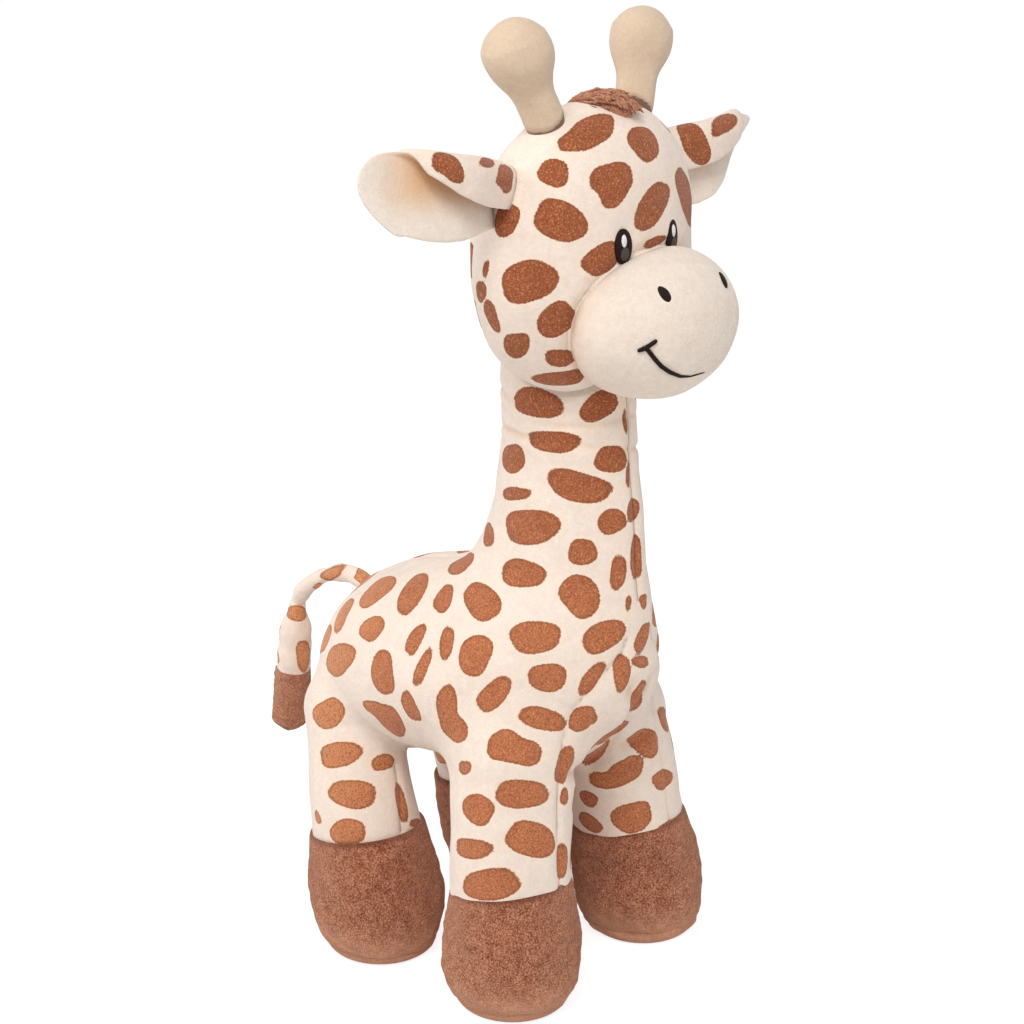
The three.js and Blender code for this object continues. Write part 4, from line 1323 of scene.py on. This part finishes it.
def boot_grid(forms, leg, rows=96, columns=150):
    """Rings of a boot: a flat sole, a rounded toe, a swelling side and a lip that turns in.
    Radius and height follow a smooth line through a few stations."""
    top = forms.size["boot_height"]
    wide = forms.size["boot_radius"]
    stations = np.array([
        (0.0, 3.0), (0.0, wide - 8.6), (0.5, wide - 6.4), (2.2, wide - 4.8), (5.4, wide - 3.0),
        (10.2, wide - 1.1), (16.0, wide), (23.0, wide - 0.1), (31.0, wide - 1.1),
        (top - 4.5, wide - 2.9), (top - 0.9, wide - 3.5), (top + 0.1, wide - 4.3), (top - 1.5, wide - 5.6),
    ])
    distance = np.concatenate([[0], np.cumsum(np.linalg.norm(np.diff(stations, axis=0), axis=-1))])
    even = np.linspace(0, distance[-1], rows)
    height = smooth_line(distance, stations[:, 0], even)
    radius = smooth_line(distance, stations[:, 1], even)
    height[even < distance[1] + 0.5] = 0
    middle = forms.leg_middle(leg, np.maximum(height, 0))
    middle[:, 2] = height
    flat = np.tile(X, (rows, 1)), np.tile(Y, (rows, 1))
    return rings(middle, *flat, radius, radius, columns), height


def smooth_line(stops, values, wanted):
    """A smooth line through values at stops: the mean of nearby straight-line readings."""
    spread = np.linspace(-2.2, 2.2, 23)
    weight = np.cos(np.linspace(-1, 1, 23) * np.pi / 2) ** 2
    readings = np.interp(wanted[:, None] + spread, stops, values)
    return readings @ weight / weight.sum()


def boot_slope(forms, points, leg):
    """How far a boot's top edge rises above its mean: more to the front and to the outside."""
    side, _ = leg
    offset = points - forms.leg_middle(leg, points[..., 2])
    return (-3.6 * offset[..., 1] + 0.4 * side * offset[..., 0]) / forms.size["leg_radius"]


class GIRAFFE_OT_boots(PieceOperator):
    """Four brown boots with rolled seams at their tops and soles"""

    bl_idname = "giraffe.boots"
    bl_label = "Boots"

    def make(self, toy):
        for name, leg in LEGS.items():
            grid, height = boot_grid(toy.forms, leg)
            normals = grid_normals(grid)
            tall = grid[..., 2]
            sole = np.abs(tall - 5.2 - 0.02 * grid[..., 0]) + 40 * (height < 1.5)[:, None]
            share = step(tall, 8, toy.forms.size["boot_height"])
            grid = grid + Z * (share * boot_slope(toy.forms, grid, leg))[..., None]
            upper = step(tall, 1.0, 4.0) * (1 - step(tall, 35, 38))
            pull = 0.5 * np.exp(-((sole / 1.2) ** 2))
            lip = 0.4 * np.abs(tall - toy.forms.size["boot_height"] + 0.6) + 40 * (tall < 40)
            # Painted light on each boot's lowest 20 mm.
            light = 0.95 * (1 - step(tall, 0, 20))
            lumps = softness(grid * 1.3, 0.8) + 0.28 * softness(grid * 5.5)
            points = grid + normals * ((lumps * upper) - pull)[..., None]
            points[..., 2] = np.maximum(points[..., 2], 0)
            values = {"seam": np.minimum(np.minimum(0.45 + sole, lip), 9), "light": light}
            made = tube_mesh(name + "_boot", points, values)
            nodes = [name + "_hoof", name + "_sole"]
            dress(made, cloth("deep_velour"), "leg_" + name, nodes)


class GIRAFFE_OT_head(PieceOperator):
    """Printed head, pulled in where the muzzle is sewn on"""

    bl_idname = "giraffe.head"
    bl_label = "Head"

    def make(self, toy):
        forms = toy.forms
        grid, normals = toy.grids["head"], toy.normals["head"]
        muzzle_edge = np.abs(forms.muzzle(grid))
        back_seam = np.abs(grid[..., 1] + 17.5) * 1.1 + 30 * (np.abs(grid[..., 0]) < 20)
        line = np.minimum(back_seam, muzzle_edge + 0.2)
        pull = 1.1 * np.exp(-((muzzle_edge / 2.4) ** 2)) + 0.8 * np.exp(-((back_seam / 1.4) ** 2))
        points = grid + normals * (softness(grid, 0.5) - pull)[..., None]
        # The seam value paints shade along the back seam and the muzzle's edge.
        values = {"spot": toy.spots.depth(grid, normals), "seam": np.minimum(line, 9)}
        made = tube_mesh("head", points, values)
        nodes = ["head_skin", "head_stuffing"]
        dress(made, cloth("printed_velour"), "head", nodes)


class GIRAFFE_OT_muzzle(PieceOperator):
    """Plain round muzzle"""

    bl_idname = "giraffe.muzzle"
    bl_label = "Muzzle"

    def make(self, toy):
        forms = toy.forms
        grid = egg_grid(forms.muzzle_middle, forms.muzzle_half, forms.muzzle_bluntness, 1, 130, 200)
        normals = grid_normals(grid)
        edge = np.abs(forms.head(grid))
        pull = 0.7 * np.exp(-((edge / 2.4) ** 2))
        points = grid + normals * (softness(grid, 0.4) - pull)[..., None]
        # Painted warm shade on the lower muzzle, strongest next to the head. The seam value paints a dark
        # line where the muzzle meets the head.
        middle = forms.muzzle_middle[2]
        shade = 0.5 * np.exp(-edge / 9) * step(grid[..., 2], middle + 22, middle)
        made = tube_mesh("muzzle", points, {"seam": np.minimum(edge + 0.1, 9), "warm_shade": shade})
        nodes = ["muzzle_skin", "muzzle_stuffing"]
        dress(made, cloth("ear_velour"), "head", nodes)


def face_point(forms, x, z, form):
    """The front point of the head or muzzle at a place across and a height, and the way that
    it faces: rays run forward from the form's middle plane, and the slope gives the way."""
    shape = np.broadcast(x, z).shape
    middle = forms.head_middle if form == forms.head else forms.muzzle_middle
    start = np.stack([x + np.zeros(shape), np.full(shape, middle[1]), z + np.zeros(shape)], -1)
    reach = reach_out(form, start, np.broadcast_to(-Y, start.shape), 40.0)
    point = start - Y * reach[..., None]
    return point, surface_way(form, point)


# Places of the embroidery in millimetres. The real head seems turned a little to the camera, so
# the eyes and nostrils lie that far to the giraffe's right.
EYE_ACROSS, EYE_RISE, EYE_SHIFT = 12.7, 5.4, 3.8
NOSTRIL_ACROSS, NOSTRIL_RISE, NOSTRIL_SHIFT = 15.6, 14.2, 2.7

# The mouth's lines in pixels, and its widths in millimetres along it
MOUTH = [(642, 347), (648, 350), (654, 358), (661, 366), (670, 372), (680, 376), (690, 376), (704, 372)]
MOUTH_SHARES = [0, 0.04, 0.5, 0.66, 0.8, 1]
MOUTH_WIDTHS = [0.9, 1.55, 1.5, 1.2, 0.55, 0.3]
MOUTH_CORNER = [(637, 351), (643, 349), (650, 345), (657, 340)]


def seen_point(form, pixels):
    """Where the camera's rays through some pixels first meet a form, and the ways it faces."""
    right, up, ahead = camera_axes()
    across = (pixels[:, :1] - PICTURE / 2) / FOCAL_PIXELS
    down = (pixels[:, 1:] - PICTURE / 2) / FOCAL_PIXELS
    ray = unit(ahead + right * across - up * down)
    start = CAMERA_PLACE + ray * 560
    reach = first_out(lambda p: -form(p), start, ray, 200.0, 60)
    point = start + ray * reach[:, None]
    return point, surface_way(form, point)


def patch_grid(forms, form, x, z, wide, tall, height, tilt=0.0, sink=0.5, rows=26, columns=56):
    """An oval pad of thread on a form: rings from its middle out, domed, and closed below."""
    share = np.concatenate([np.linspace(0.02, 1, rows), np.full(3, 1.0)])
    lift = height * np.sqrt(np.clip(1 - share**2.6, 0, 1)) + 0.12
    lift[-3:] = [0.0, -sink / 2, -sink]
    turn = circle(columns)
    across = share[:, None] * wide / 2 * np.cos(turn)
    up = share[:, None] * tall / 2 * np.sin(turn)
    lean = math.radians(tilt)
    px = x + across * math.cos(lean) - up * math.sin(lean)
    pz = z + across * math.sin(lean) + up * math.cos(lean)
    point, normal = face_point(forms, px, pz, form)
    return point + normal * (lift[:, None] + 0 * px)[..., None], px * math.sin(0.6) + pz * math.cos(0.6)


class GIRAFFE_OT_face(PieceOperator):
    """Embroidered eyes, nostrils and mouth"""

    bl_idname = "giraffe.face"
    bl_label = "Face"

    def make(self, toy):
        forms, stitch = toy.forms, toy.forms.size["stitch"]
        eye_z = forms.head_middle[2] + EYE_RISE
        nostril_z = forms.muzzle_middle[2] + NOSTRIL_RISE
        for name, side in SIDES.items():
            x = side * EYE_ACROSS - EYE_SHIFT
            grid, thread = patch_grid(forms, forms.head, x, eye_z, 7.0, 11.8, stitch + 0.3)
            made = tube_mesh(name + "_eye_stitches", grid, {"thread": thread})
            dress(made, cloth("dark_satin"), "head", [name + "_eye"])
            grid, thread = patch_grid(forms, forms.head, x, eye_z - 2.1, 4.3, 5.8, stitch + 0.55, rows=18)
            made = tube_mesh(name + "_eye_grey", grid, {"thread": thread})
            dress(made, cloth("grey_satin"), "head")
            grid, thread = patch_grid(
                forms, forms.head, x - 0.4, eye_z + 1.9, 2.5, 5.0, stitch + 0.75, rows=16
            )
            made = tube_mesh(name + "_glint_stitches", grid, {"thread": thread})
            dress(made, cloth("white_satin"), "head", [name + "_eye_glint"])
            x = side * NOSTRIL_ACROSS - NOSTRIL_SHIFT
            grid, thread = patch_grid(
                forms, forms.muzzle, x, nostril_z, 3.5, 4.9, stitch, tilt=-6, rows=18
            )
            made = tube_mesh(name + "_nostril_stitches", grid, {"thread": thread})
            dress(made, cloth("dark_satin"), "head", [name + "_nostril"])
        points, faces, thread = self.mouth(forms)
        made = make_mesh("mouth_stitches", points, faces, {"thread": thread})
        dress(made, cloth("dark_satin"), "head", ["mouth"])

    def mouth(self, forms):
        """A thick line of stitches that rises to the right cheek, and a short one across its
        upper end. Both lie where the photograph's lines meet the muzzle."""
        smile = self.line(forms, MOUTH, np.interp(np.linspace(0, 1, 90), MOUTH_SHARES, MOUTH_WIDTHS))
        corner = self.line(forms, MOUTH_CORNER, 1.5 * np.sqrt(1 - 0.92 * np.linspace(-1, 1, 90) ** 6))
        points, faces = several([smile, corner])
        return points, faces, points @ np.array([0.9, 0.1, 0.25])

    def line(self, forms, pixels, width):
        """A raised line on the muzzle: an oval ring about each point of a smooth curve."""
        flat = np.array(pixels, float)
        stops = np.concatenate([[0], np.cumsum(np.linalg.norm(np.diff(flat, axis=0), axis=-1))])
        even = np.linspace(0, stops[-1], len(width))
        pixels = np.stack([smooth_line(stops, flat[:, k], even) for k in (0, 1)], -1)
        point, normal = seen_point(forms.muzzle, pixels)
        tangent = unit(np.gradient(point, axis=0))
        across = np.cross(normal, tangent)
        half = width / 2
        return rings(point + normal * 0.25, across, normal, half, 0.6 * half + 0.15, 16)


# From the head's middle to a horn's foot, and from there to its knob, in millimetres, and how
# much smaller than its set size each knob is in the photograph
HORN_BASE = np.array([21, -3.8, 36.0])
HORN_KNOB = np.array([12.75, 5.3, 31])
KNOB_TRIM = {-1: 0.2, 1: 0.9}


class GIRAFFE_OT_horns(PieceOperator):
    """Two horns with round knobs"""

    bl_idname = "giraffe.horns"
    bl_label = "Horns"

    def make(self, toy):
        forms, size = toy.forms, toy.forms.size
        for name, side in SIDES.items():
            base = forms.head_middle + HORN_BASE * [side, 1, 1]
            knob = base + HORN_KNOB * [side, 1, 1]
            knob_radius = size["horn_knob"] - KNOB_TRIM[side]
            along = knob - base
            tall = np.linalg.norm(along)
            along = along / tall
            across = unit(np.cross(Y, along))
            up = np.cross(along, across)

            def horn(p):
                offset = p - base
                height = offset @ along
                side_way = np.linalg.norm(offset - height[..., None] * along, axis=-1)
                taper = np.clip(1 - height / (0.5 * tall), 0, 2)
                stem = side_way - (size["horn_stem"] + 0.5 * taper**2)
                stem = np.maximum(stem, height - tall)
                ball = np.linalg.norm(p - knob, axis=-1) - knob_radius
                return join(stem, ball, 7)

            end = tall + knob_radius
            low = np.linspace(-7, tall - 2, 60, endpoint=False)
            cap = tall - 2 + (end - tall + 2) * np.sin(np.linspace(0, 0.985, 44) * np.pi / 2)
            height = np.concatenate([low, cap])
            middle = (base + height[:, None] * along)[:, None]
            turn = circle(96)[None, :, None]
            direction = np.cos(turn) * across + np.sin(turn) * up
            reach = reach_out(horn, middle, direction + 0 * middle, 20.0)
            grid = middle + direction * reach[..., None]
            normals = grid_normals(grid)
            root = np.abs(forms.head(grid))
            pull = 0.5 * np.exp(-((root / 1.6) ** 2))
            points = grid + normals * (softness(grid * 1.6, 0.35) - pull)[..., None]
            # Painted shade at the horn's foot, most on its inner front side.
            toward = step(((grid - base) @ np.array([-side, -0.8, 0])), -6, 6)
            crease = 0.8 * np.maximum(root - 0.8 - 2.3 * toward, 0)
            made = tube_mesh(name + "_horn", points, {"seam": np.minimum(crease, 9)})
            nodes = [name + "_horn_skin", name + "_horn_stuffing"]
            dress(made, cloth("horn_velour"), "head", nodes)


class GIRAFFE_OT_ears(PieceOperator):
    """Two ears, each a printed back and a plain lining that share a curled edge"""

    bl_idname = "giraffe.ears"
    bl_label = "Ears"

    def make(self, toy):
        forms = toy.forms
        for name, side in SIDES.items():
            rows, columns = toy.ears[name].shape[:2]
            back = toy.ears[name]
            spots = toy.ear_spots[name].depth(back, grid_normals(back)).ravel()
            between = ear_sheet(forms, side, 0)
            lining = ear_sheet(forms, side, 1)
            root, out, _, ahead = ear_frame(forms, side)
            along = np.sin(np.linspace(0, 1, rows) * np.pi / 2)[:, None]
            # Painted warm shade in the lining, strongest up under the fold and fading out towards the tip.
            hollow = step(np.linspace(0, 1, columns), 0.12, 0.5)[None] * (1 - step(along, 0.6, 0.97))
            pieces = {
                "back": ([back, between - 0.03 * ahead], "printed_velour", "spotted_velour"),
                "lining": ([between + 0.03 * ahead, lining], "ear_velour", "cream_velour"),
            }
            for kind, (sheets, finish, slot) in pieces.items():
                points = np.concatenate([sheet.reshape(-1, 3) for sheet in sheets])
                # Painted shade along the ear's root where it meets the head.
                root_line = 0.45 * np.maximum(np.abs(forms.head(points)) - 0.8, 0)
                values = {"seam": np.minimum(root_line, 9), "spot": np.tile(spots, 2),
                          "warm_shade": np.tile(hollow.ravel(), 2)}
                made = make_mesh(name + "_ear_" + kind + "_cloth", points, shell_faces(rows, columns), values)
                dress(made, cloth(finish), None, [name + "_ear_" + kind])
                at(*(root - out))
                at(*(root + 9 * out))
                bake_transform(made)


# The forelock's half sizes across, along and up, where its middle lies, and its count of hairs
FORELOCK_HALF = np.array([6.0, 12.6, 7.6])
FORELOCK_FORWARD, FORELOCK_SINK = 6.4, 4.0
FORELOCK_HAIRS = 420


class GIRAFFE_OT_forelock(PieceOperator):
    """A strip of deep pile on the crown, with curled tufts at its front end"""

    bl_idname = "giraffe.forelock"
    bl_label = "Forelock"

    def make(self, toy):
        forms = toy.forms
        top = forms.head_middle + [0, -FORELOCK_FORWARD, forms.head_half[2] - FORELOCK_SINK]
        grid = egg_grid(top, FORELOCK_HALF, 2.2, 1, 90, 72)
        grid = grid - Z * (0.1 * (grid[..., 1] - top[1]))[..., None]
        normals = grid_normals(grid)
        grid = grid + normals * (0.5 * softness(grid * 6) + 0.35 * softness(grid * 13))[..., None]
        draw = np.random.default_rng(11)
        parts, dark = [grid], [9.0]
        for _ in range(FORELOCK_HAIRS):
            spread = draw.uniform(-1, 1, 2)
            if np.hypot(*spread) > 1:
                continue
            lift = math.sqrt(1 - 0.94 * (spread @ spread))
            back = 12.0 * spread[1] + 1.6
            root = top + [6.0 * spread[0], back, 7.0 * lift - 0.1 * back]
            front = step(-spread[1], 0.2, 0.9)
            way = np.array([0.35 * spread[0] + draw.normal(0, 0.16), -1.0, 0.3 - 0.3 * front])
            side = np.array([0.8, draw.normal(0, 0.3), draw.normal(0, 0.3)])
            way, side = unit(way), unit(side)
            t = np.linspace(0, 1, 14)[:, None]
            tall = draw.uniform(4.4, 7.0)
            sway = draw.normal(0, 0.1) * np.sin(4 * t)
            path = root + tall * (t * way - (0.16 + 0.24 * front) * t**2 * Z + sway * side)
            tangent = unit(np.gradient(path, axis=0))
            across = unit(np.cross(tangent, side))
            radius = 0.62 * round_end(t[:, 0])
            parts.append(rings(path, across, np.cross(tangent, across), radius, radius, 7))
            dark.append(0.12 if draw.uniform() < 0.42 * front else 9.0)
        points, faces = several(parts)
        dark = np.repeat(dark, [part.shape[0] * part.shape[1] + 2 for part in parts])
        light = 0.3 + 0.3 * step(top[1] - points[:, 1], 4, 14)
        values = {"seam": dark, "light": light}
        made = make_mesh("forelock_pile", points, faces, values)
        dress(made, cloth("deep_velour"), "head", ["forelock"])


class GIRAFFE_OT_tail(PieceOperator):
    """Arched and hanging stretches of the tail, and its brown end"""

    bl_idname = "giraffe.tail"
    bl_label = "Tail"

    def make(self, toy):
        forms = toy.forms
        # The arch bends out of the rump. The hanging stretch turns whole about the knee, where
        # its rounded end and the arch's overlap.
        for name, node, body in (("tail_arch", "tail_root", None), ("tail_drop", "tail_drop", "tail_lower")):
            grid, normals = toy.grids[name], toy.normals[name]
            points = grid + normals * softness(grid * 3, 0.35)[..., None]
            values = {"spot": toy.tail_spots.depth(grid, normals),
                      "seam": np.full(grid.shape[:2], 9.0)}
            made = tube_mesh(name + "_cloth", points, values)
            dress(made, cloth("printed_velour"), body, [node])
            if body is None:
                base = forms.tail_root
                at(*base)
                at(*(base + [0, 9, 3]))
                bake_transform(made)
        share = np.linspace(0, 1, 70)
        way = forms.tail_end - forms.tail_kink
        shown = TAIL_BROWN_SHARE + (1 - TAIL_BROWN_SHARE) * share
        path = forms.tail_kink + way * shown[:, None]
        radius = forms.size["tail_radius"] + 1.5 + 0.3 * step(share, 0, 0.25)
        radius = radius * round_end(step(share, 0.7, 1.02), 2.2)
        grid = path_tube(path, radius, 60)
        normals = grid_normals(grid)
        points = grid + normals * (0.3 * softness(grid * 5) + 0.2 * softness(grid * 9))[..., None]
        flat = np.ones(grid.shape[:2])
        made = tube_mesh("tail_end", points, {"seam": 9.0 * flat, "light": 0.3 * flat})
        dress(made, cloth("deep_velour"), "tail_lower", ["tail_tip"])


class GIRAFFE_OT_stage(bpy.types.Operator):
    """White floor, soft lamps, pale world and the camera at the photograph's angle"""

    bl_idname = "giraffe.stage"
    bl_label = "Stage"

    def execute(self, context):
        scene = context.scene
        scene.view_settings.view_transform = "Standard"
        self.world(scene)
        self.floor()
        for name, place_mm, size_mm, watts, colour in (
            ("key_lamp", (-620, -340, 1020), 520, 6.2, (1.0, 0.985, 0.965)),
            ("fill_lamp", (420, -1000, 380), 800, 1.3, (1.0, 0.985, 0.97)),
            ("back_lamp", (-520, 700, 800), 500, 3.6, (1.0, 1.0, 1.0)),
        ):
            self.lamp(name, np.array(place_mm, float), size_mm, watts, colour)
        self.camera(scene)
        return {"FINISHED"}

    def world(self, scene):
        world = bpy.data.worlds.new("pale_room")
        world.use_nodes = True
        tree = world.node_tree
        back = tree.nodes["Background"]
        paths = tree.nodes.new("ShaderNodeLightPath")
        seen = Value(tree, paths.outputs["Is Camera Ray"])
        white = (seen + Value(tree, paths.outputs["Is Glossy Ray"])
                 + Value(tree, paths.outputs["Is Transmission Ray"])).clip()
        strength = 0.46 + white * 0.54
        tree.links.new(strength.socket, back.inputs["Strength"])
        back.inputs["Color"].default_value = (1, 1, 1, 1)
        scene.world = world

    def floor(self):
        """A wide square of pale card, white to the camera where no shadow falls."""
        reach = 9000.0
        corners = np.array([[-reach, -reach, 0], [reach, -reach, 0], [reach, reach, 0], [-reach, reach, 0]])
        mesh = bpy.data.meshes.new("floor")
        mesh.from_pydata([tuple(p) for p in place(corners)], [], [(0, 1, 2, 3)])
        made = bpy.data.objects.new("floor", mesh)
        bpy.context.scene.collection.objects.link(made)
        finish = Finish("white_card", 0.95, {"Specular IOR Level": 0.1})
        finish.shader.inputs["Base Color"].default_value = (0.9, 0.9, 0.9, 1)
        paths = finish.tree.nodes.new("ShaderNodeLightPath")
        glow = finish.tree.nodes.new("ShaderNodeEmission")
        glow.inputs["Strength"].default_value = 1.4
        blend = finish.tree.nodes.new("ShaderNodeMixShader")
        output = finish.tree.nodes["Material Output"]
        seen = Value(finish.tree, paths.outputs["Is Camera Ray"]) * 0.6
        finish.tree.links.new(seen.socket, blend.inputs[0])
        finish.tree.links.new(finish.shader.outputs[0], blend.inputs[1])
        finish.tree.links.new(glow.outputs[0], blend.inputs[2])
        finish.tree.links.new(blend.outputs[0], output.inputs["Surface"])
        made.data.materials.append(finish.material)

    def lamp(self, name, where, size_mm, watts, colour):
        data = bpy.data.lights.new(name, "AREA")
        data.shape = "DISK"
        data.size = size_mm * MM
        data.energy = watts
        data.color = colour
        made = bpy.data.objects.new(name, data)
        bpy.context.scene.collection.objects.link(made)
        aim = np.array([0, 0, 170.0]) - where
        made.matrix_world = Matrix.Translation(Vector(place(where))) @ (
            Vector(aim).to_track_quat("-Z", "Y").to_matrix().to_4x4()
        )

    def camera(self, scene):
        data = bpy.data.cameras.new("camera")
        data.sensor_width = SENSOR
        data.lens = FOCAL_PIXELS * SENSOR / PICTURE
        data.clip_start, data.clip_end = 0.01, 100
        made = bpy.data.objects.new("camera", data)
        scene.collection.objects.link(made)
        right, up, ahead = camera_axes()
        turn = Matrix(np.column_stack([right, up, -ahead]).tolist()).to_4x4()
        made.matrix_world = Matrix.Translation(Vector(place(CAMERA_PLACE))) @ turn
        scene.camera = made


class GIRAFFE_PT_panel(bpy.types.Panel):
    """Lists the toy's sizes, its colours and the steps that make it"""

    bl_idname = "GIRAFFE_PT_panel"
    bl_label = "Plush giraffe"
    bl_space_type = "VIEW_3D"
    bl_region_type = "UI"
    bl_category = "Giraffe"

    def draw(self, context):
        column = self.layout.column(align=True)
        for held in (context.scene.giraffe_sizes, context.scene.giraffe_colours):
            for name in held.__annotations__:
                column.prop(held, name)
        for operator in OPERATORS:
            self.layout.operator(operator.bl_idname)


OPERATORS = (
    GIRAFFE_OT_trunk,
    GIRAFFE_OT_legs,
    GIRAFFE_OT_boots,
    GIRAFFE_OT_head,
    GIRAFFE_OT_muzzle,
    GIRAFFE_OT_face,
    GIRAFFE_OT_horns,
    GIRAFFE_OT_ears,
    GIRAFFE_OT_forelock,
    GIRAFFE_OT_tail,
    GIRAFFE_OT_stage,
)
CLASSES = (GiraffeSizes, GiraffeColours, *OPERATORS, GIRAFFE_PT_panel)


def register():
    for item in CLASSES:
        bpy.utils.register_class(item)
    bpy.types.Scene.giraffe_sizes = PointerProperty(type=GiraffeSizes)
    bpy.types.Scene.giraffe_colours = PointerProperty(type=GiraffeColours)


def unregister():
    del bpy.types.Scene.giraffe_colours
    del bpy.types.Scene.giraffe_sizes
    for item in reversed(CLASSES):
        bpy.utils.unregister_class(item)


def main():
    """Registers the add-on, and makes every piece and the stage."""
    register()
    for operator in OPERATORS:
        group, name = operator.bl_idname.split(".")
        getattr(getattr(bpy.ops, group), name)()


if __name__ == "__main__":
    main()
